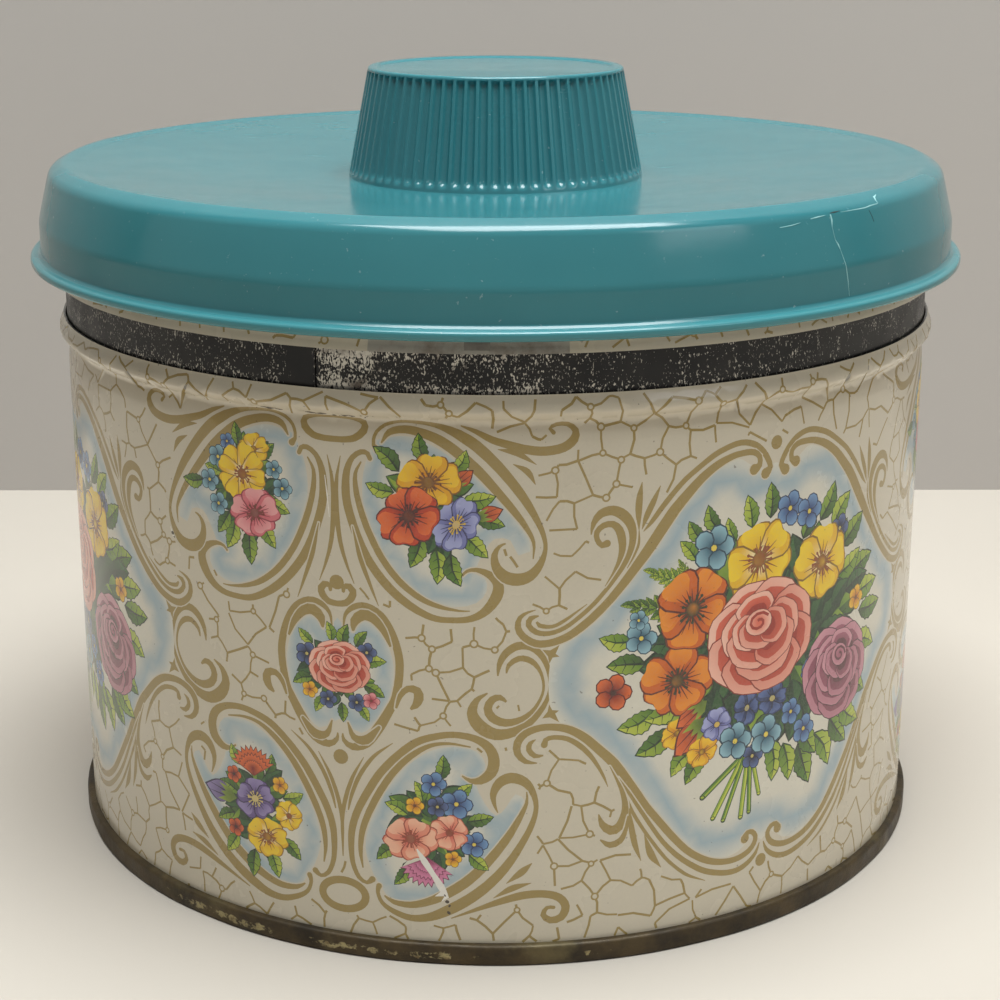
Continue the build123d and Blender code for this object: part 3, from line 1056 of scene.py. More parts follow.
CARTOUCHE = Scrollwork(
    strokes=(
        ((-1.7, 64.8, 1.5), (-0.95, 65.6, 0.9), (-1.4, 66.7, 0.85), (-2.2, 67.8, 0.85), (-3.5, 68.85, 0.85),
         (-5.1, 69.4, 0.8), (-6.6, 69.4, 0.8), (-8.5, 68.9, 0.8), (-10.1, 68.2, 0.8), (-12, 67, 0.75),
         (-13.9, 65.65, 0.75), (-15.5, 64.1, 0.75), (-17, 62.4, 0.75), (-18.5, 60.5, 0.6),
         (-19.6, 59.3, 0.1)),
        ((-3.6, 65.6, 1.5), (-2.75, 66.1, 0.9), (-2.8, 67.2, 0.8), (-3.7, 67.9, 0.85), (-5.1, 68.05, 0.85),
         (-7, 67.85, 0.9), (-9.3, 67, 1.1), (-11.6, 65.5, 1.25), (-13.5, 63.7, 1.4), (-15.3, 61.8, 1.55),
         (-17, 59.5, 1.6), (-18.9, 56.8, 1.5), (-20.8, 54.3, 1.3), (-22.8, 51.8, 1.15), (-24.7, 49.7, 1.1),
         (-27, 47.6, 1.1), (-29.3, 46, 1.05), (-31.6, 45.2, 1), (-33.5, 45.2, 1), (-35.1, 46.2, 0.95),
         (-35.75, 47.4, 0.85), (-35.5, 48.7, 0.6), (-34.5, 49.4, 0.35), (-33.5, 49.7, 0.1)),
        ((-26.5, 59.4, 0.15), (-26.2, 60.85, 0.7), (-25.3, 62.05, 1.1), (-23.7, 62.4, 1.3),
         (-22.2, 61.6, 1.4), (-21.25, 60.2, 1.2), (-21, 58.5, 0.95), (-21.4, 56.6, 0.8), (-22.2, 55, 0.7),
         (-23.5, 53.1, 0.6), (-25.5, 50.7, 0.6), (-27.4, 48.9, 0.6), (-29.7, 47.2, 0.6),
         (-31.7, 46.5, 0.65), (-33.4, 46.7, 0.75), (-34.4, 47.7, 0.75), (-34.1, 48.6, 0.7),
         (-33.1, 48.9, 0.2)),
        ((-24.4, 58.1, 1), (-25.1, 57.9, 0.8), (-25.7, 58.7, 0.7), (-25.75, 59.7, 0.75), (-24.9, 60.5, 0.8),
         (-23.7, 60.6, 0.9), (-22.85, 59.8, 1.1), (-22.45, 58.5, 1.1), (-22.4, 57.1, 0.9),
         (-22.8, 55.6, 0.6), (-23.6, 54, 0.3), (-24.6, 52.4, 0.1)),
        ((-33.4, 48.1, 0.3), (-33, 47.6, 0.6), (-31.4, 47.4, 0.5), (-29.7, 48.2, 0.45), (-26.9, 50.2, 0.1)),
        ((-20.2, 59.6, 0.1), (-20.2, 57.8, 0.35), (-20.8, 56.2, 0.3), (-21.7, 54.6, 0.1)),
        ((-33.2, 28.7, 0.15), (-34.7, 28.95, 0.7), (-35.75, 30.1, 0.95), (-35.75, 31.6, 1.05),
         (-34.7, 32.9, 1), (-32.8, 33.6, 0.95), (-30.8, 33.6, 1), (-28.9, 33.1, 1.1), (-27, 31.9, 1.2),
         (-25.1, 30.1, 1.25), (-22.9, 27.8, 1.35), (-21, 25.1, 1.2), (-19.7, 23.2, 1.1),
         (-18.4, 21.2, 1.05), (-16.4, 18.6, 1.05), (-14.5, 16.2, 1.05), (-12.4, 13.9, 1), (-10.3, 12.3, 1),
         (-8.15, 11.25, 0.95), (-5.85, 10.75, 0.9), (-3.9, 10.8, 0.9), (-2.2, 11.4, 0.9),
         (-1.3, 12.3, 0.85), (-1.1, 13.3, 0.8), (-1.7, 14.1, 0.75), (-2.5, 14.2, 0.8), (-2.95, 13.4, 1.4)),
        ((-22.4, 25.9, 0.1), (-20.95, 23.6, 0.45), (-19.6, 21.4, 0.55), (-17.8, 18.5, 0.6),
         (-15.95, 15.75, 0.65), (-14, 13.55, 0.75), (-11.7, 11.6, 0.8), (-9.3, 10.1, 0.85),
         (-6.6, 9.2, 0.85), (-4.3, 9, 0.85), (-2.4, 9.6, 0.8), (-0.95, 10.8, 0.6), (-0.35, 12.2, 0.15)),
        ((-9.3, 8.7, 0.1), (-12, 10.05, 0.45), (-13.9, 11.6, 0.5), (-15.6, 13.4, 0.5), (-17.2, 15.6, 0.5),
         (-18.8, 18, 0.5), (-20.3, 20.6, 0.5), (-21, 22.4, 0.3), (-21.6, 23.9, 0.1)),
        ((-32.3, 31.2, 0.9), (-32.1, 31.9, 0.7), (-31.1, 32.2, 0.65), (-29.3, 31.9, 0.7),
         (-27.6, 30.8, 0.75), (-26.2, 29.3, 0.65), (-25.1, 27.6, 0.5), (-24.3, 26, 0.35),
         (-23.8, 24.7, 0.1)),
        ((-32.4, 29.75, 0.2), (-33.5, 29.7, 0.7), (-34.3, 30.6, 0.75), (-34.1, 31.5, 0.6),
         (-33.4, 32, 0.1)),
        ((-25, 20.9, 0.15), (-24.5, 19.4, 0.9), (-23.3, 18.4, 1.35), (-22.2, 18.8, 1.3), (-21.5, 20.3, 1.1),
         (-21.4, 22, 0.85), (-21.9, 24, 0.6), (-22.8, 26, 0.3), (-23.6, 27.6, 0.1)),
        ((-24.75, 17.2, 0.2), (-23.4, 16.3, 0.9), (-22, 16.75, 0.9), (-21.25, 18.2, 0.6),
         (-20.9, 20.2, 0.3)),
    ),
    leaves=(
        (((-19.9, 65.85), (-20.2, 63.9), (-20.3, 61.8), (-20.2, 59.5)), 1.0),
        (((-17.4, 65.15), (-18.3, 63.2), (-19.2, 61.3), (-19.8, 59.6)), 0.9),
        (((-19, 13.4), (-19.9, 15.9), (-20.5, 18.8), (-20.8, 21.3)), 0.9),
        (((-16.1, 12), (-17.6, 14.2), (-18.6, 17.2)), 1.05),
    ),
    dots=((0, 68.7, 0.95), (0, 9.5, 0.95)),
    marks=tuple(
        tuple((x, 39.6 + side * (z - 39.6)) for x, z in (
            (-32.6, 44.3), (-31.6, 44.2), (-30.4, 44.9), (-30.9, 43.7), (-30.4, 43.3), (-31.3, 43.2),
            (-31.7, 42.4), (-31.9, 43.4),
        ))
        for side in (1, -1)
    ),
    windows=(
        both_sides(((0, 66), (-3, 65.6), (-5.5, 67.2), (-8, 67.5), (-11, 66.5), (-14, 64), (-17, 60),
                    (-20, 55.8), (-23.5, 51.8), (-27, 48.2), (-30.5, 45.5), (-31.5, 43), (-31.8, 39.7),
                    (-31.5, 36.5), (-30, 33.9), (-28, 32.5), (-25, 29.5), (-21.5, 25), (-18, 20),
                    (-14.5, 15.5), (-11, 12.6), (-7.5, 11.4), (-4, 11.8), (-1.5, 13.5), (0, 12.5))),
    ),
)


def row(bloom: Bloom, palette: Palette, *flowers: tuple[float, ...]) -> list[Flower]:
    """Flowers of one kind and one palette, each by its place, size, turn and flattening."""
    return [Flower(bloom, palette, *values) for values in flowers]


def spray(
    middle: Point, *leaves: Knot, palettes: Sequence[Palette] = (Palette.LEAF, Palette.FRESH),
) -> list[Flower]:
    """Leaves that point away from a bouquet's middle.

    Args:
        middle: Place that they point away from.
        leaves: Place of each leaf's own middle, and its length.
        palettes: Inks, taken in turn.
    """
    result = []
    for k, (x, z, size) in enumerate(leaves):
        turn = math.atan2(z - middle[1], x - middle[0])
        root = (x - math.cos(turn) * size / 2, z - math.sin(turn) * size / 2)
        result.append(Flower(Bloom.LEAF, palettes[k % len(palettes)], *root, size, math.degrees(turn), 1.1))
    return result


GOLDEN_TURN = 2.39996


def thicket(middle: Point, wide: float, tall: float, size: float, count: int) -> list[Flower]:
    """Leaves in the shadow that fill an oval behind a bouquet's flowers.

    Args:
        middle: Middle of the oval.
        wide: Half its width.
        tall: Half its height.
        size: Length of a leaf.
        count: Number of leaves.
    """
    result = []
    for k in range(count):
        turn, share = k * GOLDEN_TURN, math.sqrt((k + 0.5) / count)
        way = turn + math.radians((k * 53) % 70 - 35)
        x, z = middle[0] + wide * share * math.cos(turn), middle[1] + tall * share * math.sin(turn)
        root = (x - math.cos(way) * size / 2, z - math.sin(way) * size / 2)
        palette = (Palette.DUSK, Palette.LEAF, Palette.DUSK)[k % 3]
        length = size * (0.85 + 0.08 * (k * 7 % 5))
        result.append(Flower(Bloom.SHADOW, palette, *root, length, math.degrees(way), 1.35))
    return result


UPPER_LEFT = (
    *thicket((-13, 63.4), 4.6, 6.4, 3.2, 26),
    *spray((-13, 64), (-22, 63.2, 3.6), (-15.6, 56.8, 4.2), (-12.6, 55.4, 4.4), (-9.6, 57.6, 3.8),
           (-16.8, 58.2, 3.6), (-18.2, 65.2, 3), (-9.4, 68.6, 3), (-8, 61.6, 3.4), (-14.2, 70.4, 3)),
    *row(Bloom.FLORET, Palette.SKY, (-17.4, 66.9, 1.7), (-19, 63.6, 1.6), (-17.6, 60.6, 1.6),
         (-7.4, 64, 1.5), (-8.6, 66.4, 1.3)),
    Flower(Bloom.FLORET, Palette.BLUE, -15.8, 69.2, 1.2),
    Flower(Bloom.OPEN, Palette.YELLOW, -11.6, 68.7, 2.7, 30, 0.85),
    Flower(Bloom.DAISY, Palette.YELLOW, -13.5, 65.2, 4),
    Flower(Bloom.OPEN, Palette.PINK, -11.7, 60.2, 3.8, 20, 0.85),
)
UPPER_RIGHT = (
    *thicket((13, 62.8), 5.2, 6, 3.4, 26),
    *spray((13, 63.5), (6.9, 69.2, 4.2), (6, 65.4, 3.6), (11.4, 70.8, 3.6), (18.6, 64.4, 4),
           (20, 61.4, 3.6), (18.2, 58.2, 4), (10.6, 57.2, 4.2), (13.2, 55.4, 4.4), (15.6, 55, 4.2),
           (16.2, 69.2, 3.2)),
    *row(Bloom.BUD, Palette.SCARLET, (15.6, 66.2, 2.8, 40), (18.6, 62, 3, 20)),
    Flower(Bloom.OPEN, Palette.VIOLET, 15.7, 61, 3.6, 60, 0.75),
    Flower(Bloom.OPEN, Palette.GOLDEN, 12.2, 66.4, 4.3, 10, 0.85),
    Flower(Bloom.OPEN, Palette.SCARLET, 9.7, 61.9, 4.3, 50, 0.85),
)
CENTRE = (
    *thicket((0, 40), 4.6, 4.2, 2.4, 18),
    *spray((0, 40.5), (1, 45.2, 3.2), (5, 41.8, 3), (-5.2, 38.4, 3), (-1.2, 45.6, 2.6), (3.2, 45, 2.6),
           (-4.6, 44.6, 2.6), (4.8, 38, 3), (-2.8, 35.4, 2.6), (0.4, 34.6, 2.6), (3.4, 34.8, 2.4)),
    *row(Bloom.FLORET, Palette.NAVY, (-4.5, 42.1, 1.7), (3.9, 43.2, 1.4), (2.4, 36.2, 1.3),
         (-1.6, 36.2, 1.3)),
    Flower(Bloom.FLORET, Palette.GOLDEN, -4.2, 37.2, 1.2),
    Flower(Bloom.FLORET, Palette.PINK, 4.4, 36.6, 1.2),
    Flower(Bloom.ROSE, Palette.CORAL, 0.1, 40.7, 4.4, 0, 0.85),
)
LOWER_LEFT = (
    *thicket((-12.6, 18.4), 4.8, 6.2, 3.2, 26),
    *spray((-13, 19), (-17.6, 20.6, 3.6), (-17.4, 12.4, 3.6), (-13.8, 10.2, 4), (-10.4, 10.8, 3.8),
           (-7.6, 13.6, 3.6), (-7.2, 21.4, 3.2), (-10.8, 25.4, 3), (-16.4, 25.6, 3), (-18.4, 16.2, 3.2)),
    Flower(Bloom.BUD, Palette.PURPLE, -17.4, 19.2, 4.6, 172),
    *row(Bloom.FLORET, Palette.SCARLET, (-16.8, 22.6, 1.3), (-16.8, 14.8, 1.4)),
    Flower(Bloom.FLORET, Palette.GOLDEN, -9.2, 22.6, 1.3),
    Flower(Bloom.FRILL, Palette.SCARLET, -13.4, 23.6, 3.4, 95),
    *row(Bloom.OPEN, Palette.YELLOW, (-7.9, 18.4, 2.2, 40), (-11.5, 14.6, 3.6, 0, 0.85)),
    Flower(Bloom.OPEN, Palette.PURPLE, -13.3, 19.8, 3.5, 20, 0.85),
)
LOWER_RIGHT = (
    *thicket((12.4, 19.6), 5, 5.6, 3.2, 26),
    *spray((12.5, 19.5), (13.6, 28, 3.4), (10.6, 24.4, 3), (18.6, 20.8, 3.4), (7.6, 21.8, 3.4),
           (6.3, 15.3, 3.6), (18.4, 14.6, 3.2), (8, 12.2, 3.2), (16.6, 24.6, 3)),
    *row(Bloom.FLORET, Palette.BLUE, (12.5, 25.6, 1.8), (15.5, 22.9, 2.2), (17.8, 17.2, 1.9)),
    Flower(Bloom.FLORET, Palette.NAVY, 13, 22.4, 1.5),
    *row(Bloom.FLORET, Palette.GOLDEN, (10, 22.4, 1.3), (15, 15, 1.2)),
    Flower(Bloom.FRILL, Palette.MAGENTA, 11.6, 14.6, 3.4, -95),
    *row(Bloom.OPEN, Palette.SALMON, (14.6, 18.8, 2.7, 30), (9.4, 17.6, 3.6, 0, 0.9)),
)
GREAT = (
    Flower(Bloom.STEM, Palette.LEAF, -3.6, 26, 8.2, 217, 0.9),
    Flower(Bloom.STEM, Palette.FRESH, -3.6, 26, 9.6, 240, 0.85),
    Flower(Bloom.STEM, Palette.LEAF, -3.3, 26, 9.6, 249, 0.8),
    Flower(Bloom.STEM, Palette.FRESH, -2.9, 26, 9.2, 264, 0.85),
    Flower(Bloom.STEM, Palette.LEAF, -2.6, 26, 8.7, 271, 0.8),
    Flower(Bloom.STEM, Palette.FRESH, -2.4, 26, 6.6, 284, 0.75),
    Flower(Bloom.SPRIG, Palette.FRESH, -13, 51.5, 5.4, 158),
    Flower(Bloom.SPRIG, Palette.LEAF, -14, 48.4, 6.6, 172),
    Flower(Bloom.SPRIG, Palette.FRESH, -12.6, 51.5, 3.2, 120),
    *thicket((0.6, 41), 17.6, 13.4, 6.2, 84),
    *spray((0, 41), (19.2, 47.8, 6.4), (21.2, 44.2, 6), (22.6, 41, 6), (21.4, 35.6, 6), (-9.6, 59.9, 4),
           (-6.8, 58, 3.4), (-12.2, 58.4, 3.6), (-4, 60, 4.4), (-0.6, 61, 4.6), (-13.2, 56, 3.6),
           (10.4, 58.9, 5.4), (13.6, 57, 5.6), (16.6, 53.6, 6), (-23, 45, 4.4), (-21.6, 41.4, 5),
           (-20, 33.6, 5.4), (-17.6, 30.2, 5.6), (-13.4, 26.6, 4.4), (-11.4, 25.4, 4.6), (1.2, 24, 6),
           (7.6, 21.8, 6.6), (11.4, 22.8, 6.4), (15.2, 24.6, 6), (18, 26.6, 6.4), (19.6, 30, 5.6),
           (4, 23, 5.6), (6.6, 57, 5), (16, 49, 6), (-13.6, 34, 6), (-16.6, 34.4, 5)),
    *spray((0, 41), (18.4, 45.6, 5.6), (8.6, 25.4, 6), (-16.2, 43.4, 5.6), (13, 53.4, 5.6), (13.2, 40.8, 7),
           palettes=(Palette.DUSK, Palette.LEAF)),
    *row(Bloom.FLORET, Palette.BLUE, (2.9, 59.3, 2.5), (6.6, 58.2, 2.5)),
    Flower(Bloom.FLORET, Palette.NAVY, 13.4, 54.4, 2.1),
    *row(Bloom.FLORET, Palette.SKY, (-9.5, 55.9, 3.2), (-19.6, 44.9, 2.3), (-20, 47.4, 1.4)),
    Flower(Bloom.FLORET, Palette.SCARLET, -23.3, 37.8, 2.6),
    Flower(Bloom.OPEN, Palette.GOLDEN, -14.2, 31, 2.6, 30, 0.8),
    *row(Bloom.BUD, Palette.SCARLET, (-10.6, 34.4, 4.4, 216), (-10.6, 31.8, 5.4, 226)),
    Flower(Bloom.OPEN, Palette.GOLDEN, -10.4, 27.7, 2.7, 200, 0.8),
    Flower(Bloom.FLORET, Palette.GOLDEN, 18.4, 43.2, 1.9),
    Flower(Bloom.OPEN, Palette.VIOLET, -8.2, 31.2, 2.6, 20, 0.9),
    *row(Bloom.OPEN, Palette.NAVY, (-3.4, 32.6, 2.6, 70, 0.85), (1, 33, 2.9, 0, 0.85)),
    Flower(Bloom.FLORET, Palette.NAVY, -2.2, 25.4, 1.9),
    *row(Bloom.FLORET, Palette.BLUE, (7.3, 27, 2.2), (4.6, 30.2, 2)),
    *row(Bloom.FLORET, Palette.SKY, (-5.2, 28.2, 2.8), (0.1, 28, 2.9)),
    Flower(Bloom.OPEN, Palette.NAVY, 8.6, 35.4, 2.4, 0, 0.9),
    *row(Bloom.OPEN, Palette.POPPY, (-14.4, 38.4, 5.2, 10, 0.94), (-12.4, 48, 5.9, 50, 0.9)),
    *row(Bloom.OPEN, Palette.YELLOW, (9.6, 50.4, 5.6, 12, 0.95), (-2.2, 53.2, 6, 40, 0.9)),
    Flower(Bloom.ROSE, Palette.MAUVE, 14.3, 33.6, 7.8, -28, 0.95),
    Flower(Bloom.ROSE, Palette.CORAL, -0.9, 42, 9.3, 6, 0.9),
)


@dataclass(frozen=True)
class Strand:
    """One line of the crackle net.

    Attributes:
        ends: Numbers of the two joints that it runs between.
        line: Its points.
        step: Distance between two of them.
        gap: Distance that it keeps from ornament.
        width: Its width.
    """

    ends: Sequence[int]
    line: np.ndarray
    step: float
    gap: float
    width: float


class CrackledSheet(Sheet):
    """A cream sheet that a net of gold crackle lines runs over."""

    GOLD = ink("9C854B")
    ACROSS, UP = 4.0, 3.9

    def __init__(self, low: float, high: float) -> None:
        """Lays the cream ground between two heights."""
        super().__init__()
        self.low, self.high = low, high
        self.band(-HALF_ROUND, HALF_ROUND, Flat(GROUND))

    def band(self, first: float, last: float, paint: Paint) -> None:
        """Paints the whole height of the sheet between two places."""
        self.area([(first, self.low), (last, self.low), (last, self.high), (first, self.high)], paint)

    def crackle(self, bare: Sequence[Point], seed: int = 7) -> None:
        """Draws crackle lines over the ground that ornament leaves free, and the bare margins.

        Args:
            bare: First and last place of each bare margin.
            seed: Start of the chance numbers.
        """
        chance = random.Random(seed)
        gold = Flat(self.GOLD)
        joints, sides = self.net(chance)
        strands = self.strands(chance, joints, sides)
        clear = self.clear(strands, bare)
        start, rings = 0, {}
        for strand in strands:
            line, ends = strand.line, strand.ends
            shown = clear[start : start + len(line)]
            start += len(line)
            runs = np.flatnonzero(np.diff(np.concatenate([[0], shown.astype(int), [0]])))
            for first, last in zip(runs[::2], runs[1::2]):
                if (last - first) * strand.step < 0.9 or (first > 0 and last < len(line)):
                    continue
                part = line[first:last]
                knots = part[[0, len(part) // 2, -1]] if len(part) > 3 else part[[0, -1]]
                self.stroke([(*p, strand.width) for p in knots], gold, 9)
                for number, at_end in ((ends[0], first == 0), (ends[1], last == len(line))):
                    if at_end:
                        rings[number] = rings.get(number, 0) + 1
        for number, count in rings.items():
            if count > 2 and chance.random() < 0.28:
                self.ring(np.array(joints[number]), gold, chance.uniform(0.48, 0.6))
        for first, last in bare:
            self.band(first, last, BareMetal())

    def net(self, chance: random.Random) -> tuple[list[Point], list[list[int]]]:
        """Finds the joints of the crackle net, and the joints at the ends of each of its sides."""
        whole = 2 * HALF_ROUND
        across = round(whole / self.ACROSS)
        step = whole / across
        seeds = []
        for j in range(-2, math.ceil((self.high - self.low) / self.UP) + 2):
            for k in range(across):
                x = (k + 0.5 * (j % 2) + chance.uniform(-0.42, 0.42)) * step - HALF_ROUND
                seeds.append((x, self.low + (j + 0.5 + chance.uniform(-0.4, 0.4)) * self.UP))
        carried = [(x - whole, z) for x, z in seeds if x > HALF_ROUND - 30]
        carried += [(x + whole, z) for x, z in seeds if x < 30 - HALF_ROUND]
        spots, _, cells, _, _, _ = delaunay_2d_cdt([Vector(p) for p in seeds + carried], [], [], 0, 1e-5)
        spots = np.array([tuple(p) for p in spots])
        joints, sides = [], {}
        for number, cell in enumerate(cells):
            a, b, c = spots[list(cell)]
            d = 2 * (a[0] * (b[1] - c[1]) + b[0] * (c[1] - a[1]) + c[0] * (a[1] - b[1]))
            q = [p @ p for p in (a, b, c)]
            x = (q[0] * (b[1] - c[1]) + q[1] * (c[1] - a[1]) + q[2] * (a[1] - b[1])) / d
            z = (q[0] * (c[0] - b[0]) + q[1] * (a[0] - c[0]) + q[2] * (b[0] - a[0])) / d
            joints.append((x, z))
            for one, other in ((0, 1), (1, 2), (2, 0)):
                sides.setdefault(tuple(sorted((cell[one], cell[other]))), []).append(number)
        return joints, list(sides.values())

    @staticmethod
    def strands(chance: random.Random, joints: list[Point], sides: list[list[int]]) -> list[Strand]:
        """Draws the net's lines, with a chance bend, gap and width each."""
        result = []
        for pair in sides:
            if len(pair) != 2 or chance.random() < 0.08:
                continue
            a, b = np.array(joints[pair[0]]), np.array(joints[pair[1]])
            length = float(np.hypot(*(b - a)))
            if length < 0.5 or length > 9 or abs(a[0]) > HALF_ROUND or abs(b[0]) > HALF_ROUND:
                continue
            kink = np.array([-(b - a)[1], (b - a)[0]]) * chance.uniform(-0.1, 0.1)
            count = max(3, round(length / 0.45))
            t = np.linspace(0, 1, count + 1)[:, None]
            line = a + (b - a) * t + kink * np.sin(math.pi * t)
            gap, width = chance.uniform(0.4, 0.8), chance.uniform(0.26, 0.36)
            result.append(Strand(pair, line, length / count, gap, width))
        return result

    def clear(self, strands: list[Strand], bare: Sequence[Point]) -> np.ndarray:
        """Tells which points of the net's lines lie on free ground."""
        points = np.vstack([s.line for s in strands])
        gaps = np.concatenate([np.full(len(s.line), s.gap) for s in strands])
        x, z = points.T
        clear = (z > self.low + 0.45) & (z < self.high - 0.3) & (np.abs(x) < HALF_ROUND - 0.4)
        for first, last in bare:
            clear &= (x < first - 0.3) | (x > last + 0.3)
        for outline in self.fields:
            close = np.flatnonzero(clear & (np.abs(points - outline.mean(0)).max(1) < 36))
            clear[close] = ~inside(points[close], outline)
        if self.marks:
            near = kdtree.KDTree(len(self.marks))
            for k, mark in enumerate(self.marks):
                near.insert((*mark[:2], 0), k)
            near.balance()
            for k in np.flatnonzero(clear):
                found = near.find_n((*points[k], 0), 2)
                clear[k] = all(away >= self.marks[n][2] + gaps[k] for _, n, away in found)
        return clear

    def ring(self, middle: np.ndarray, gold: Paint, radius: float) -> None:
        """Draws a small open ring at a crackle joint."""
        self.area(disc(radius, 12) + middle, gold)
        self.area(disc(radius - 0.24, 10) + middle, Flat(GROUND))


class TinPrint(CrackledSheet):
    """The whole print round the wall: crackle, scrollwork, white fields with blue halos, bouquets."""

    SPACING = 53.0
    FIRST_GROUP = -18.5
    PRINT_START, PRINT_END = -159.0, 178.5
    CHIP_ROW = 74.4

    def __init__(self, low: float, high: float) -> None:
        """Draws the print between two heights."""
        super().__init__(low, high)
        for piece, steps in ((self.group(), (-2, 0, 2)), (self.cartouche(), (-1, 1, 3))):
            for step in steps:
                self.stamp(piece, arc_mm(self.FIRST_GROUP + self.SPACING * step))
        self.wear(arc_mm(self.FIRST_GROUP))
        self.crackle(((-HALF_ROUND, arc_mm(self.PRINT_START)), (arc_mm(self.PRINT_END), HALF_ROUND)))

    def wear(self, middle: float) -> None:
        """Draws the scratches and chips that the photograph shows, from the first group's axis."""
        bright, dark = Flat(ink("E9E4DA")), Flat(ink("45382A"))
        for knots in (
            ((10.2, 16.2, 0.15), (11.2, 14.5, 0.9), (12.4, 12.6, 0.7), (13.4, 10.9, 1.0), (14.3, 9.3, 0.3)),
            ((-1.3, 66.5, 0.1), (-1.0, 63.6, 0.16), (-0.8, 61, 0.08)),
            ((-27, 55.6, 0.1), (-26.4, 54.2, 0.3)),
        ):
            self.stroke([(x + middle, z, w) for x, z, w in knots], bright, 1.5)
        for knots in (
            ((-3.9, 0, 0.08), (-3.1, 0.04, 0.28), (-2.3, -0.05, 0.12), (-1.6, 0.03, 0.3), (-0.9, 0, 0.06)),
            ((-0.2, -0.1, 0.06), (0.1, -0.08, 0.2), (0.4, -0.1, 0.05)),
            ((1.0, 0, 0.08), (1.5, -0.05, 0.24), (2.0, 0.02, 0.1), (2.5, -0.06, 0.2), (2.9, -0.05, 0.05)),
            (
                (-10.4, 0, 0.05), (-9.6, 0.05, 0.22), (-9.0, -0.04, 0.3), (-8.3, 0.04, 0.1),
                (-7.6, -0.06, 0.16), (-7.1, -0.05, 0.04),
            ),
        ):
            self.stroke([(x + middle, self.CHIP_ROW + z, w) for x, z, w in knots], dark, 0.4)
        chance = random.Random(5)
        spots = [
            (14.2, 8.8, 0.3), (14.5, 8.2, 0.24), (14.4, 7.2, 0.3), (13.9, 9.7, 0.2), (-26.6, 54.8, 0.3),
            (-26.3, 54.3, 0.2), (30.5, 60.2, 0.2),
        ]
        for _ in range(24):
            x, z = chance.uniform(-34, 6), self.CHIP_ROW + chance.uniform(-0.2, 0.2)
            spots.append((x, z, chance.uniform(0.06, 0.13)))
        for x, z, radius in spots:
            speck = disc(radius, 7, chance.uniform(0.5, 0.9), chance.uniform(0, 3))
            self.area(speck + (x + middle, z), dark)

    def frame(self, work: Scrollwork, halo: tuple[float, float, float]) -> Sheet:
        """Draws a scrollwork's white fields and gold lines on both sides of its axis.

        Args:
            work: The scrollwork.
            halo: Distance of the blue band from the field's edge, its spread and its strength.

        Returns:
            The sheet, with its marks, fields and soft places.
        """
        fields, lines = Sheet(), Sheet()
        gold = Flat(self.GOLD)
        for window in work.windows:
            across = min(x for x, _ in window) < 0 < max(x for x, _ in window)
            for sign in (1,) if across else (1, -1):
                outline = smooth_path([(*p, 0.0) for p in (*window, window[0])], 1.6)[:-1, :2] * (sign, 1)
                fields.area(outline, Halo(tuple(map(tuple, outline)), *halo))
                fields.fields.append(outline)
                fields.soft += self.dots_inside(outline, 1.7)
        for stroke in work.strokes:
            if min(abs(x) for x, _, _ in stroke) > 0.3:
                lines.stroke([(x, z, w + 0.36) for x, z, w in stroke], Flat(GROUND), 1.2)
            lines.stroke(stroke, gold)
            lines.marks += [(x, z, w / 2) for x, z, w in smooth_path(stroke, 0.5)]
        for line, width in work.leaves:
            widths = np.sin(np.linspace(0.02, math.pi - 0.02, len(line))) * width
            widths[0] = widths[-1] = 0.08
            lines.stroke([(*p, w) for p, w in zip(line, widths)], gold, 0.5)
            lines.marks += [(x, z, width / 2) for x, z in line]
        for x, z, radius in work.dots:
            lines.area(disc(radius, 14) + (x, z), gold)
            lines.marks.append((x, z, radius))
        for mark in work.marks:
            lines.area(mark, gold)
        for flip in (False, True):
            fields.stamp(lines, flip=flip)
        for x, z, wide, tall, width in work.rings:
            turns = np.linspace(0, 2 * math.pi, 33)
            loop = [(x + wide * math.cos(a), z + tall * math.sin(a), width) for a in turns]
            fields.stroke(loop, gold)
            fields.marks += [(p[0], p[1], width / 2) for p in loop]
            fields.fields.append(np.array(loop)[:-1, :2])
        return fields

    @staticmethod
    def dots_inside(outline: np.ndarray, pitch: float) -> list[Point]:
        """Grid of places inside an outline, for its soft colours."""
        low, high = outline.min(0), outline.max(0)
        xs, zs = np.arange(low[0], high[0], pitch), np.arange(low[1], high[1], pitch * 0.87)
        grid = np.array([(x + (j % 2) * pitch / 2, z) for j, z in enumerate(zs) for x in xs])
        return [tuple(p) for p in grid[inside(grid, outline)]]

    def group(self) -> Sheet:
        """Draws one group: four medallions round a fifth."""
        piece = self.frame(GROUP, (1.2, 1.25, 0.8))
        piece.fields += [disc(3.6, 12) + (x, 40.5) for x in (-24.0, 24.0)]
        piece.fields.append(disc(3.4, 12, 0.45) + (0, 72.6))
        for seed, flowers in enumerate((UPPER_LEFT, UPPER_RIGHT, CENTRE, LOWER_LEFT, LOWER_RIGHT)):
            piece.stamp(Bouquet(flowers, seed))
        return piece

    def cartouche(self) -> Sheet:
        """Draws one great cartouche."""
        piece = self.frame(CARTOUCHE, (2.6, 1.7, 0.85))
        piece.fields += [disc(2.8, 12) + (x, 57.5) for x in (-24.0, 24.0)]
        piece.stamp(Bouquet(GREAT, 11))
        return piece


def inside(points: np.ndarray, outline: np.ndarray) -> np.ndarray:
    """Tells which points lie inside an outline."""
    result = np.zeros(len(points), bool)
    for (x1, y1), (x2, y2) in zip(outline, np.roll(outline, -1, 0)):
        crosses = (points[:, 1] > y1) != (points[:, 1] > y2)
        if crosses.any():
            x = x1 + (points[:, 1] - y1) / (y2 - y1 + 1e-12) * (x2 - x1)
            result ^= crosses & (points[:, 0] < x)
    return result


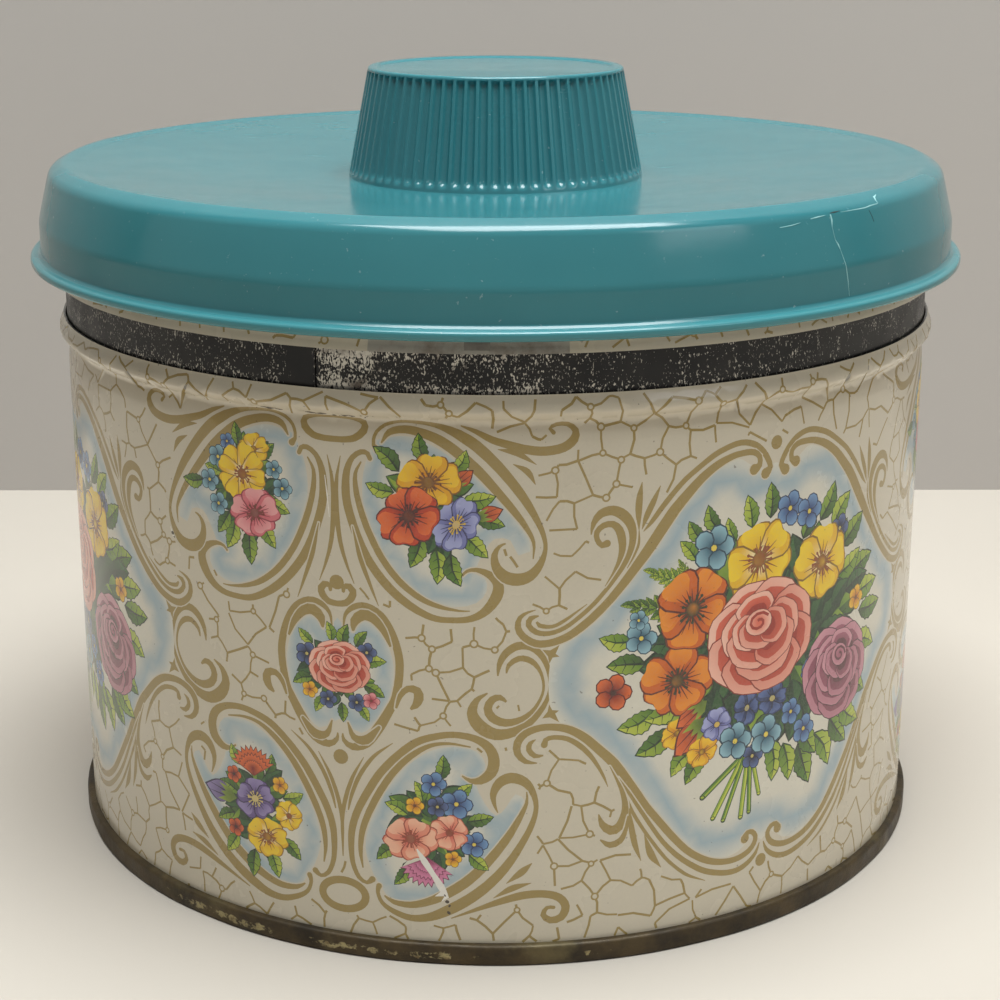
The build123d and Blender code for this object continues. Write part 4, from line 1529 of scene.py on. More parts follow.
@dataclass(frozen=True)
class Profile:
    """Line of a wall's outer face: its radius at each height, in millimetres."""

    heights: tuple[float, ...]
    radii: tuple[float, ...]

    def radius(self, z: np.ndarray) -> np.ndarray:
        """Radius at each height."""
        return np.interp(z, self.heights, self.radii)

    def normals(self, angle: np.ndarray, z: np.ndarray) -> np.ndarray:
        """Outward direction at each angle, in radians from the front, and height."""
        slope = (self.radius(z + 0.12) - self.radius(z - 0.12)) / 0.24
        rise = -slope / np.sqrt(1 + slope**2)
        flat_part = np.sqrt(1 - rise**2)
        return np.column_stack([flat_part * np.sin(angle), -flat_part * np.cos(angle), rise])


class Cut:
    """A sheet cut into triangles along the edges of what shows of its print."""

    def __init__(self, sheet: Sheet, rows: Sequence[float], columns: int) -> None:
        """Cuts the sheet.

        Args:
            sheet: Printed areas over the whole way round; the first one covers it all.
            rows: Heights of the grid rows, with both edges.
            columns: Grid columns in a whole turn.
        """
        across = np.linspace(-HALF_ROUND, HALF_ROUND, columns + 1)
        edge = [(s, rows[0]) for s in across] + [(HALF_ROUND, z) for z in rows[1:]]
        edge += [(s, rows[-1]) for s in across[::-1][1:]] + [(-HALF_ROUND, z) for z in rows[::-1][1:-1]]
        self.edge = np.array(edge)
        grid = [(s, z) for z in rows[1:-1] for s in across[1:-1]]
        self.fill(self.outlines(sheet), np.array(grid + sheet.soft))

    @staticmethod
    def beside(starts: np.ndarray, ends: np.ndarray, size: int) -> np.ndarray:
        """Finds, for each side of a triangle, the number of the side that runs back along it, or -1."""
        key, back = starts * size + ends, ends * size + starts
        order = np.argsort(key)
        found = np.searchsorted(key[order], back)
        found[found == len(key)] = 0
        return np.where(key[order][found] == back, order[found], -1)

    def outlines(self, sheet: Sheet) -> list[tuple[np.ndarray, int, int]]:
        """Finds the lines between areas that show, each with the paints left and right of it."""
        count = len(self.edge)
        points, faces, numbers = [self.edge], [list(range(count))], [0]
        same: dict[Paint, int] = {}
        for outline, number in sheet.areas:
            paint = sheet.paints[number][0]
            points.append(outline)
            faces.append(list(range(count, count + len(outline))))
            numbers.append(same.setdefault(paint, number) if paint.even else number)
            count += len(outline)
        source = [Vector(p) for p in np.vstack(points)]
        verts, _, cells, _, _, origins = delaunay_2d_cdt(source, [], faces, 0, 1e-5, True)
        place = np.array([tuple(v) for v in verts])
        corners = np.array(cells)
        owner = np.array([numbers[max(o)] if o else 0 for o in origins])
        starts, ends = corners.ravel(), np.roll(corners, -1, 1).ravel()
        owners = np.repeat(owner, 3)
        beside = self.beside(starts, ends, len(place))
        other = np.where(beside >= 0, owners[beside], -1)
        shown = (beside >= 0) & (owners != other) & (starts < ends)
        links: dict[int, list[tuple[int, int, int]]] = {}
        for a, b, left, right in zip(*(values[shown].tolist() for values in (starts, ends, owners, other))):
            links.setdefault(a, []).append((b, left, right))
            links.setdefault(b, []).append((a, right, left))
        lines, used = [], set()

        def run(first: int, step: tuple[int, int, int]) -> None:
            """Follows one line to the next joint."""
            chain, here, (after, left, right) = [first], first, step
            while True:
                used.add((here, after))
                used.add((after, here))
                chain.append(after)
                if len(links[after]) != 2 or after == first:
                    break
                onward = [s for s in links[after] if s[0] != here]
                if not onward or (after, onward[0][0]) in used:
                    break
                here, after = after, onward[0][0]
            lines.append((self.thin(place[chain]), left, right))

        for joint, steps in links.items():
            if len(steps) != 2:
                for step in steps:
                    if (joint, step[0]) not in used:
                        run(joint, step)
        for joint, steps in links.items():
            for step in steps:
                if (joint, step[0]) not in used:
                    run(joint, step)
        return lines

    @staticmethod
    def thin(line: np.ndarray, slack: float = 0.02) -> np.ndarray:
        """Leaves out the points of a line that lie within slack of the rest."""
        keep = np.zeros(len(line), bool)
        keep[[0, -1]] = True
        if np.allclose(line[0], line[-1]):
            keep[int(np.argmax(np.hypot(*(line - line[0]).T)))] = True
        stack = [(a, b) for a, b in zip(np.flatnonzero(keep)[:-1], np.flatnonzero(keep)[1:])]
        while stack:
            a, b = stack.pop()
            if b - a < 2:
                continue
            side = line[b] - line[a]
            inner = line[a + 1 : b] - line[a]
            away = np.abs(inner[:, 0] * side[1] - inner[:, 1] * side[0]) / max(1e-9, float(np.hypot(*side)))
            far = int(np.argmax(away))
            if away[far] > slack:
                keep[a + 1 + far] = True
                stack += [(a, a + 1 + far), (a + 1 + far, b)]
        return line[keep]

    def fill(self, lines: list[tuple[np.ndarray, int, int]], grid: np.ndarray) -> None:
        """Fills the lines with triangles and finds the paint of each."""
        count = len(self.edge)
        points = [self.edge]
        edges = [(k, (k + 1) % count) for k in range(count)]
        sides = [(-1, -1)] * count
        for line, left, right in lines:
            points.append(line)
            edges += [(count + k, count + k + 1) for k in range(len(line) - 1)]
            sides += [(left, right)] * (len(line) - 1)
            count += len(line)
        points.append(grid)
        source = np.vstack(points)
        result = delaunay_2d_cdt([Vector(p) for p in source], edges, [], 0, 1e-5, True)
        self.place = np.array([tuple(v) for v in result[0]])
        self.corners = np.array(result[2])
        size = len(self.place)
        known: dict[int, int] = {}
        for (a, b), origin in zip(result[1], result[4]):
            for number in origin:
                if number < len(edges) and sides[number][0] >= 0:
                    c, d = edges[number]
                    along = float((self.place[b] - self.place[a]) @ (source[d] - source[c])) > 0
                    left, right = sides[number] if along else sides[number][::-1]
                    known[a * size + b], known[b * size + a] = left, right
                    break
        starts, ends = self.corners.ravel(), np.roll(self.corners, -1, 1).ravel()
        fixed = np.array([known.get(k, -1) for k in (starts * size + ends).tolist()])
        self.owner = fixed.reshape(-1, 3).max(1)
        beside = np.where(fixed < 0, self.beside(starts, ends, size) // 3, -1).reshape(-1, 3)
        while True:
            blank = np.flatnonzero(self.owner < 0)
            near = np.where(beside[blank] >= 0, self.owner[beside[blank]], -1).max(1, initial=-1)
            if near.max(initial=-1) < 0:
                break
            self.owner[blank] = near
        self.owner[self.owner < 0] = 0


def wrap(name: str, sheet: Sheet, profile: Profile, rows: Sequence[float], columns: int) -> Mesh:
    """Wraps a printed sheet round the axis as a closed shell.

    Args:
        name: Name of the mesh.
        sheet: Printed areas over the whole way round.
        profile: Radius of the outer face at each height.
        rows: Heights of the grid rows; the first and last are the shell's edges.
        columns: Grid columns in a whole turn.

    Returns:
        The mesh, in metres, with the print, and the painted shade of its edge faces, in the colour attribute
        print_and_shade_colour.
    """
    low, high = rows[0], rows[-1]
    cut = Cut(sheet, rows, columns)
    place, corners, owner = cut.place, cut.corners, cut.owner
    weld = np.arange(len(place))
    left, right = (np.flatnonzero(np.abs(place[:, 0] - side) < 1e-3) for side in (-HALF_ROUND, HALF_ROUND))
    partner = {round(float(place[v, 1]), 3): v for v in left}
    for v in right:
        weld[v] = partner[round(float(place[v, 1]), 3)]
    angle = place[:, 0] / WALL_RADIUS
    radius = profile.radius(place[:, 1])
    outer = np.column_stack([radius * np.sin(angle), -radius * np.cos(angle), place[:, 1]]) * MM
    outer_normals = profile.normals(angle, place[:, 1])

    turns = np.arange(columns) * 2 * math.pi / columns - math.pi
    inner = zip(profile.radius(np.array(rows)) - PLATE, rows)
    inside_skin = np.array([(r * math.sin(a), -r * math.cos(a), z) for r, z in inner for a in turns]) * MM
    base = len(outer)
    ring_at = {}
    for v in np.flatnonzero((np.abs(place[:, 1] - low) < 1e-3) | (np.abs(place[:, 1] - high) < 1e-3)):
        column = round((place[v, 0] + HALF_ROUND) / (2 * HALF_ROUND) * columns) % columns
        ring_at[(column, place[v, 1] > (low + high) / 2)] = int(weld[v])
    n, m = np.arange(columns), (np.arange(columns) + 1) % columns
    quads, normals = [], []
    inward = np.column_stack([-np.sin(turns), np.cos(turns), np.zeros(columns)])
    for j in range(len(rows) - 1):
        a, b = base + j * columns + n, base + j * columns + m
        quads.append(np.column_stack([a, a + columns, b + columns, b]))
        normals.append(np.stack([inward[n], inward[n], inward[m], inward[m]], 1))
    for top in (False, True):
        start = base + (len(rows) - 1) * columns * top
        near, far = np.array([ring_at[(k, top)] for k in n]), np.array([ring_at[(k, top)] for k in m])
        ring = np.column_stack([near, far, start + m, start + n])
        quads.append(ring if top else ring[:, ::-1])
        normals.append(np.broadcast_to((0.0, 0.0, 1.0 if top else -1.0), (columns, 4, 3)))
    quads = np.vstack(quads)
    normals = np.vstack([outer_normals[corners].reshape(-1, 3), np.concatenate(normals).reshape(-1, 3)])
    faces = np.concatenate([weld[corners].ravel(), quads.ravel()])
    used, index = np.unique(faces, return_inverse=True)
    triangles, rest = index[: corners.size].reshape(-1, 3), index[corners.size :].reshape(-1, 4)
    mesh = bpy.data.meshes.new(name)
    mesh.from_pydata(np.vstack([outer, inside_skin])[used].tolist(), [], triangles.tolist() + rest.tolist())

    colours = np.ones((len(mesh.loops), 4))
    colours[:, :3] = ink("B9B4AA")
    # The edge faces at both ends are painted near black: this is painted shadow of the narrow gap each edge
    # sits in, not a colour of the metal.
    colours[-8 * columns :] = (*ink("24211D"), 0.0)
    for number in np.unique(owner):
        chosen = np.flatnonzero(owner == number)
        at = (chosen[:, None] * 3 + np.arange(3)).ravel()
        colours[at, :3] = sheet.colours(number, place[corners[chosen].ravel()])
        colours[at, 3] = float(sheet.paints[number][0].bare)
    layer = mesh.color_attributes.new("print_and_shade_colour", "FLOAT_COLOR", "CORNER")
    layer.data.foreach_set("color", colours.ravel())
    mesh.polygons.foreach_set("use_smooth", [True] * len(mesh.polygons))
    heights = np.array([v.co.z for v in mesh.vertices])
    rim = (np.abs(heights - low * MM) < 1e-6) | (np.abs(heights - high * MM) < 1e-6)
    ends = np.empty(len(mesh.edges) * 2, int)
    mesh.edges.foreach_get("vertices", ends)
    mesh.edges.foreach_set("use_edge_sharp", rim[ends.reshape(-1, 2)].all(1).tolist())
    mesh.normals_split_custom_set(normals.tolist())
    mesh.update()
    LOG.info("%s: %d areas, %d faces", name, len(sheet.areas), len(mesh.polygons))
    return mesh


WALL_PROFILE = Profile(
    (WALL_LOW, 70.6, 71.8, 73.0, 73.9, 74.35, 74.85, 75.5, 76.2, 77.1, WALL_HIGH),
    (64.0, 64.0, 63.94, 63.74, 63.58, 63.74, 64.5, 65.03, 65.0, 64.64, 64.4),
)


@dataclass
class Canister:
    """The tin itself: printed wall, bottom seam and black collar."""

    print_finish: PrintedTinplate = field(default_factory=PrintedTinplate)
    seam_finish: RustedSeam = field(default_factory=RustedSeam)
    collar_finish: ScuffedLacquer = field(default_factory=ScuffedLacquer)
    lap_angle: float = -20.6
    recess: float = 6.8
    tongue: float = 6.5

    def build(self) -> None:
        """Builds the wall, the seam and the collar, and hands them over to the tin's body."""
        self.build_wall()
        self.build_seam()
        self.build_collar()

    def build_wall(self) -> None:
        """Builds the printed wall."""
        rows = [WALL_LOW, 4.4, *(8.4 + 6 * k for k in range(10)), 68.4, 70.6, 71.4, 72.0, 72.6, 73.1]
        rows += [73.6, 74.1, 74.5, 74.9, 75.3, 75.7, 76.2, 76.8, 77.3, WALL_HIGH]
        mesh = wrap("wall_print", TinPrint(WALL_LOW, WALL_HIGH), WALL_PROFILE, rows, 240)
        wall = make_object("wall_print", mesh, self.print_finish.build())
        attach(wall, "tin")
        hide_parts("body_wall")

    @staticmethod
    def lacquer_left(turn: float) -> float:
        """Says how much cream lacquer the seam keeps at an angle, in degrees from the front."""
        patches = (
            (-38, 16, 0.17), (-11, 12, 0.18), (12.5, 2.6, 0.22), (40, 7, 0.1), (55, 6, 0.06),
            (150, 30, 0.1), (-130, 25, 0.12),
        )
        kept = sum(
            amount * math.exp(-(((turn - middle) / width) ** 4)) for middle, width, amount in patches
        )
        return kept - 0.05

    def build_seam(self) -> None:
        """Builds the bottom end with its rolled seam."""
        section = rounded_section([
            (0, 3.2, 0), (63.37, 3.2, 0.4), (63.37, 0, 0.35), (65.05, 0, 0.45),
            *((65.05, z, 0) for z in (0.7, 1.1, 1.6, 2.1)), (65.05, 2.9, 0.5), (64.03, 2.9, 0),
            (64.03, 2.62, 0), (64.75, 2.62, 0.2), (64.75, 0.3, 0.2), (63.65, 0.3, 0), (63.65, 3.48, 0),
            (0, 3.48, 0),
        ])
        mesh = turned("bottom_seam", section, 360)
        amount = mesh.attributes.new("lacquer", "FLOAT", "POINT")
        for vertex in mesh.vertices:
            a = math.atan2(vertex.co.x, -vertex.co.y)
            band = math.exp(-(((vertex.co.z / MM - 1.3) / 0.85) ** 4))
            amount.data[vertex.index].value = self.lacquer_left(math.degrees(a)) * band - 0.05 * (1 - band)
            if vertex.co.xy.length > 64.8 * MM:
                wave = 1 + 0.0007 * math.sin(11 * a) + 0.0005 * math.sin(23 * a + 1)
                vertex.co.xy = vertex.co.xy * min(wave, 1.0)
        shade(mesh)
        seam = make_object("bottom_seam", mesh, self.seam_finish.build())
        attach(seam, "tin")
        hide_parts("bottom_end")

    @staticmethod
    def rubbed_off(turn: float, height: float) -> float:
        """Says how much lacquer the collar has lost at an angle, in degrees from the front, and a height."""
        low, high = math.exp(-(((height - 78.0) / 0.7) ** 2)), math.exp(-(((height - 82.9) / 1.3) ** 2))
        patches = (
            (-17.2, 3.7, 0.085, 0.9), (-5, 9, 0.068, 0.2), (8, 8, 0.035, 0.2), (-42, 18, 0.03, 0.2),
            (26, 12, 0.01, 0.1), (100, 40, 0.03, 0.2), (-120, 40, 0.04, 0.2),
        )
        lost = 0.0
        for middle, width, amount, even in patches:
            lost += math.exp(-(((turn - middle) / width) ** 4)) * (
                amount * even + (0.5 * amount + 0.04) * low + 0.9 * amount * high
            )
        return lost - 0.015 - 0.2 * math.exp(-(((turn + 22.2) / 1.3) ** 4))

    def build_collar(self) -> None:
        """Builds the collar's outer band and the tongue tucked behind it."""
        finish = self.collar_finish.build()
        heights = [74.7, 77.0, 77.7, 78.4, 79.2, 80.0, 80.8, 81.6, 82.3, 83.0, 84.0, 90.7]
        parts = (
            ("collar_band", 63.9, (self.lap_angle + self.recess, self.lap_angle + 360)),
            ("collar_tongue", 63.65, (self.lap_angle - self.tongue, self.lap_angle + self.recess + 0.6)),
        )
        for name, radius, arc in parts:
            section = [(radius, z) for z in heights]
            section += [(radius - PLATE, z) for z in (heights[-1], heights[0])]
            mesh = turned(name, section, 360, arc)
            amount = mesh.attributes.new("wear", "FLOAT", "POINT")
            for vertex in mesh.vertices:
                a = math.degrees(math.atan2(vertex.co.x, -vertex.co.y))
                amount.data[vertex.index].value = self.rubbed_off(a, vertex.co.z / MM)
            shade(mesh)
            band = make_object(name, mesh, finish)
            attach(band, "tin")
            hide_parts("collar")


@dataclass
class Lid:
    """The lift-off lid: tin cap and turquoise cover with its fluted knob."""

    plastic: MouldedPlastic = field(default_factory=MouldedPlastic)
    strip: PrintedTinplate = field(default_factory=PrintedTinplate)
    flutes: int = 72
    faces_per_flute: int = 8

    def build(self) -> None:
        """Builds the cap's printed strip and the cover, and hands them over to the lid's body."""
        self.build_strip()
        self.build_cover()

    def build_strip(self) -> None:
        """Builds the cap's wall."""
        sheet = CrackledSheet(STRIP_LOW, STRIP_HIGH)
        sheet.crackle(((arc_mm(-14), arc_mm(8)),), 3)
        profile = Profile((STRIP_LOW, 83.4, 84.2, STRIP_HIGH), (64.95, 64.88, 64.64, 64.63))
        rows = [STRIP_LOW, 83.2, 83.4, 83.8, 84.2, 85.4, 88.0, STRIP_HIGH]
        mesh = wrap("cap_strip", sheet, profile, rows, 360)
        strip = make_object("cap_strip", mesh, self.strip.build())
        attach(strip, "lid")
        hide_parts("cap_wall")

    def knob_sector(self) -> Mesh:
        """Builds one flute's share of the knob, from its foot in the dish to the disc on top."""
        width = 2 * math.pi / self.flutes
        count = self.faces_per_flute
        ways = [-width / 2 + width * k / count for k in range(count + 1)]
        heights = [
            DISH_FLOOR, 96.5, 96.9, 97.2, 97.5, 97.9, 99.0, 102.0, 106.0, 109.0, 110.6, 111.0, 111.3, 111.5,
        ]
        rim = (
            (18.83, 111.72), (18.7, 111.9), (18.5, 112.0), (17.75, 112.0), (17.5, 111.94), (17.3, 111.74),
            (17.05, 111.7),
        )
        taper = (KNOB_FOOT - KNOB_TOP) / (KNOB_HEIGHT - DISH_FLOOR)
        mesh = bmesh.new()

        def ring(radii: Iterable[float], z: float) -> list[bmesh.types.BMVert]:
            """Adds one row of points."""
            places = [(r * math.sin(w) * MM, -r * math.cos(w) * MM, z * MM) for r, w in zip(radii, ways)]
            return [mesh.verts.new(place) for place in places]

        rows = []
        for z in heights:
            radii = []
            for way in ways:
                off = abs(2 * way / width)
                hollow = math.sqrt(max(0.0, 1 - (off / 0.72) ** 2))
                foot = min(1.0, max(0.0, (z - 96.95 - 0.55 * off**2) / 0.55))
                head = min(1.0, max(0.0, (111.5 - z) / 0.45))
                radii.append(KNOB_FOOT - taper * (z - DISH_FLOOR) - 0.62 * hollow * min(foot, head) ** 0.6)
            rows.append(ring(radii, z))
        rows += [ring([radius] * len(ways), z) for radius, z in rim]
        for low, high in zip(rows, rows[1:]):
            for k in range(count):
                mesh.faces.new((low[k], low[k + 1], high[k + 1], high[k]))
        centre = mesh.verts.new((0, 0, 111.7 * MM))
        for k in range(count):
            mesh.faces.new((rows[-1][k], rows[-1][k + 1], centre))
        result = bpy.data.meshes.new("knob_sector")
        mesh.to_mesh(result)
        mesh.free()
        return result

    @staticmethod
    def knob_tree() -> bpy.types.NodeTree:
        """Builds the node tree that sets one sector round the axis."""
        tree = bpy.data.node_groups.new("ring_of_flutes", "GeometryNodeTree")
        for kind, name, way in (
            ("NodeSocketGeometry", "Sector", "INPUT"), ("NodeSocketInt", "Flutes", "INPUT"),
            ("NodeSocketFloat", "Weld Distance", "INPUT"), ("NodeSocketMaterial", "Material", "INPUT"),
            ("NodeSocketGeometry", "Knob", "OUTPUT"),
        ):
            tree.interface.new_socket(name, in_out=way, socket_type=kind)
        nodes = {name: tree.nodes.new(kind) for name, kind in (
            ("start", "NodeGroupInput"), ("end", "NodeGroupOutput"),
            ("points", "GeometryNodePoints"), ("place", "GeometryNodeInstanceOnPoints"),
            ("number", "GeometryNodeInputIndex"), ("step", "ShaderNodeMath"), ("turn", "ShaderNodeMath"),
            ("spin", "ShaderNodeCombineXYZ"), ("real", "GeometryNodeRealizeInstances"),
            ("weld", "GeometryNodeMergeByDistance"), ("paint", "GeometryNodeSetMaterial"),
        )}
        nodes["step"].operation, nodes["turn"].operation = "DIVIDE", "MULTIPLY"
        nodes["step"].inputs[0].default_value = 2 * math.pi
        for source, output, target, socket in (
            ("start", "Flutes", "points", "Count"), ("start", "Flutes", "step", 1),
            ("step", 0, "turn", 0), ("number", 0, "turn", 1), ("turn", 0, "spin", "Z"),
            ("points", 0, "place", "Points"), ("start", "Sector", "place", "Instance"),
            ("spin", 0, "place", "Rotation"), ("place", 0, "real", 0), ("real", 0, "weld", "Geometry"),
            ("start", "Weld Distance", "weld", "Distance"), ("weld", 0, "paint", "Geometry"),
            ("start", "Material", "paint", "Material"), ("paint", 0, "end", 0),
        ):
            tree.links.new(nodes[source].outputs[output], nodes[target].inputs[socket])
        return tree

    def knob(self, finish: Material) -> Mesh:
        """Sets the sectors round the axis and returns the finished mesh."""
        carrier = make_object("knob_carrier", self.knob_sector(), finish)
        tree = self.knob_tree()
        modifier = carrier.modifiers.new("ring_of_flutes", "NODES")
        modifier.node_group = tree
        values = {"Flutes": self.flutes, "Weld Distance": 0.00002, "Material": finish}
        for item in tree.interface.items_tree:
            if item.in_out == "INPUT" and item.name in values:
                modifier[item.identifier] = values[item.name]
        carrier.update_tag()
        graph = bpy.context.evaluated_depsgraph_get()
        graph.update()
        mesh = bpy.data.meshes.new_from_object(carrier.evaluated_get(graph), depsgraph=graph)
        carrier.modifiers.clear()
        bpy.data.objects.remove(carrier)
        return mesh

    def build_cover(self) -> None:
        """Builds the cover with its knob as one piece."""
        finish = self.plastic.build()
        outside = rounded_section([
            (KNOB_FOOT, DISH_FLOOR, 0), (60.9, 99.0, 6.0), (63.2, 99.4, 1.6), (65.35, 98.3, 2.0),
            (66.35, 94.3, 6.0), (67.1, 91.3, 5.0), (67.1, 87.0, 0.4), (67.5, 86.6, 0.3),
            (68.1, 86.55, 0.4), (68.6, 86.3, 0.45), (68.6, 85.2, 0.5), (66.1, 85.2, 0.3),
            (66.1, 91.3, 2.0), (64.35, 97.6, 0.5), (16.65, 94.7, 0.5), (16.65, 110.2, 0.5), (0, 110.2, 0),
        ])
        shell = turned("cover", outside, self.flutes * self.faces_per_flute)
        work = bmesh.new()
        work.from_mesh(shell)
        foot = DISH_FLOOR * MM
        caps = [
            f for f in work.faces
            if all(abs(v.co.z - foot) < 1e-7 or v.co.xy.length < 1e-6 for v in f.verts)
        ]
        bmesh.ops.delete(work, geom=caps, context="FACES")
        work.from_mesh(self.knob(finish))
        bmesh.ops.remove_doubles(work, verts=work.verts, dist=0.00002)
        bmesh.ops.recalc_face_normals(work, faces=work.faces)
        work.to_mesh(shell)
        work.free()
        # Marks the lower rim of the cover's flange, which the material paints paler as a painted glow of
        # light through the thin edge.
        thin = shell.attributes.new("thin", "FLOAT", "POINT")
        for vertex in shell.vertices:
            z, r = vertex.co.z / MM, vertex.co.xy.length / MM
            thin.data[vertex.index].value = max(0.0, min(1.0, (87.0 - z) / 0.5)) * 0.5 if r > 67 else 0.0
        shade(shell, 44)
        cover = make_object("cover", shell, finish)
        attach(cover, "lid")
        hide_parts("knob_cover")
        for crack in CRACKS:
            crack.build(cover)


@dataclass
class Crack:
    """Fine raised lines that a crack leaves on the cover; the dark ones are painted shadow inside the crack.

    Attributes:
        name: Name of the piece.
        finish: Its finish.
        lines: Angle from the front, radius, height and width at each knot of each line; the
            radius and height only need to be near the cover's face.
    """

    name: str
    finish: PlainFinish
    lines: tuple[tuple[tuple[float, float, float, float], ...], ...]

    def build(self, cover: bpy.types.Object) -> None:
        """Lays the lines on the cover's face and hands them over to the lid's body."""
        faces = [tuple(p.vertices) for p in cover.data.polygons]
        tree = BVHTree.FromPolygons([v.co for v in cover.data.vertices], faces)
        work = bmesh.new()
        for line in self.lines:
            self.ridge(work, tree, line)
        bmesh.ops.recalc_face_normals(work, faces=work.faces)
        mesh = bpy.data.meshes.new(self.name)
        work.to_mesh(mesh)
        work.free()
        item = make_object(self.name, mesh, self.finish.build())
        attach(item, "lid")
        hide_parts("knob_cover")

    @staticmethod
    def ridge(work: bmesh.types.BMesh, tree: BVHTree, line: Sequence[Sequence[float]]) -> None:
        """Adds one closed ridge of three-sided section."""
        places, widths = [], []
        for k_last, ((a, r, z, w), (b, s, y, v)) in enumerate(zip(line, line[1:]), 1):
            steps = max(2, math.ceil(math.hypot(math.radians(b - a) * r, s - r, y - z) / 0.5))
            for k in range(steps + (k_last == len(line) - 1)):
                t = k / steps
                turn, radius = math.radians(a + (b - a) * t), r + (s - r) * t
                spot = (radius * math.sin(turn), -radius * math.cos(turn), z + (y - z) * t)
                places.append(Vector(spot) * MM)
                widths.append((w + (v - w) * t) * MM)
        found = [tree.find_nearest(p)[:2] for p in places]
        rings = []
        for k, (spot, normal) in enumerate(found):
            along = (found[min(k + 1, len(found) - 1)][0] - found[max(k - 1, 0)][0]).normalized()
            side = along.cross(normal).normalized() * widths[k] / 2
            sunk = normal * 1e-5
            corners = (spot - side - sunk, spot + side - sunk, spot + normal * 4e-5)
            rings.append([work.verts.new(p) for p in corners])
        for first, second in zip(rings, rings[1:]):
            for n in range(3):
                m = (n + 1) % 3
                work.faces.new((first[n], first[m], second[m], second[n]))
        work.faces.new(rings[0])
        work.faces.new(rings[-1])


@dataclass
class Stage:
    """Floor, back wall, lamps and camera of the picture."""

    def build(self) -> None:
        """Builds the stage."""
        floor = self.slab("floor", [(-3, -3, 0), (3, -3, 0), (3, 3, 0), (-3, 3, 0)], ink("BDB4A8"))
        back = self.slab(
            "backdrop", [(-3, 0.16, 0), (3, 0.16, 0), (3, 0.16, 3), (-3, 0.16, 3)], ink("B4AEA8"),
        )
        self.one_sided(back.data.materials[0])
        self.room()
        self.lamp("window", 50, 28, 0.9, (0.36, 0.3), 0.7)
        self.lamp("ceiling", 25, 80, 0.9, (0.7, 0.55), 16.0, (0.93, 0.98, 1.0))
        self.camera()

    def slab(self, name: str, corners: list[tuple[float, float, float]], tone: Colour) -> bpy.types.Object:
        """Builds one flat face of the stage."""
        mesh = bpy.data.meshes.new(name)
        mesh.from_pydata(corners, [], [(0, 1, 2, 3)])
        g = Graph(name)
        g.set(
            Base_Color=g.mix(g.ramp(g.noise(3, 3), 0.3, 0.7, 0.0, 0.06), tone, ink("C9C9C8")), Roughness=0.7,
        )
        return make_object(name, mesh, g.material)

    @staticmethod
    def one_sided(material: Material) -> None:
        """Lets a view from behind look through a face of the stage."""
        nodes, join = material.node_tree.nodes, material.node_tree.links.new
        solid, output = (
            next(n for n in nodes if n.type == kind) for kind in ("BSDF_PRINCIPLED", "OUTPUT_MATERIAL")
        )
        clear, side = nodes.new("ShaderNodeBsdfTransparent"), nodes.new("ShaderNodeNewGeometry")
        choice = nodes.new("ShaderNodeMixShader")
        for number, socket in enumerate((side.outputs["Backfacing"], solid.outputs[0], clear.outputs[0])):
            join(socket, choice.inputs[number])
        join(choice.outputs[0], output.inputs[0])

    @staticmethod
    def room() -> None:
        """Sets the world: a faint light, and a pale wall where it is seen itself or in a gloss."""
        world = bpy.data.worlds.new("room")
        bpy.context.scene.world = world
        world.use_nodes = True
        nodes, join = world.node_tree.nodes, world.node_tree.links.new
        light, seen = nodes["Background"], nodes.new("ShaderNodeBackground")
        ray, choice = nodes.new("ShaderNodeLightPath"), nodes.new("ShaderNodeMixShader")
        for node, tone, strength in ((light, (0.86, 0.88, 0.9), 0.085), (seen, ink("A7A19B"), 1.0)):
            node.inputs["Color"].default_value = (*tone, 1)
            node.inputs["Strength"].default_value = strength
        share = ray.outputs["Is Camera Ray"]
        for kind in ("Is Glossy Ray", "Is Transmission Ray"):
            either = nodes.new("ShaderNodeMath")
            either.operation = "MAXIMUM"
            join(share, either.inputs[0])
            join(ray.outputs[kind], either.inputs[1])
            share = either.outputs[0]
        for number, socket in enumerate((share, light.outputs[0], seen.outputs[0])):
            join(socket, choice.inputs[number])
        join(choice.outputs[0], nodes["World Output"].inputs[0])

    def lamp(
        self, name: str, turn: float, rise: float, away: float, size: Point, power: float,
        tint: Colour = (1, 1, 1),
    ) -> None:
        """Adds an area lamp that looks at the tin.

        Args:
            name: Name of the lamp.
            turn: Angle from the front towards the right, in degrees.
            rise: Angle above the floor, in degrees.
            away: Distance in metres.
            size: Width and height in metres.
            power: Power in watts.
            tint: Colour of its light.
        """
        data = bpy.data.lights.new(name, "AREA")
        data.shape = "RECTANGLE"
        data.energy, data.size, data.size_y = power, *size
        data.color = tint
        lamp = bpy.data.objects.new(name, data)
        a, e = math.radians(turn), math.radians(rise)
        lamp.location = (
            away * math.sin(a) * math.cos(e), -away * math.cos(a) * math.cos(e), 0.06 + away * math.sin(e),
        )
        lamp.rotation_euler = (Vector((0, 0, 0.06)) - lamp.location).to_track_quat("-Z", "Y").to_euler()
        bpy.context.scene.collection.objects.link(lamp)

    def camera(self) -> None:
        """Adds the camera that the photograph was taken with."""
        data = bpy.data.cameras.new("view")
        data.lens, data.sensor_width, data.clip_start = 75.1, 36.0, 0.01
        camera = bpy.data.objects.new("view", data)
        camera.location = (0, -0.3127, 0.1384)
        camera.rotation_euler = (math.radians(90 - 16.593), 0, math.radians(-0.119))
        bpy.context.scene.collection.objects.link(camera)
        bpy.context.scene.camera = camera


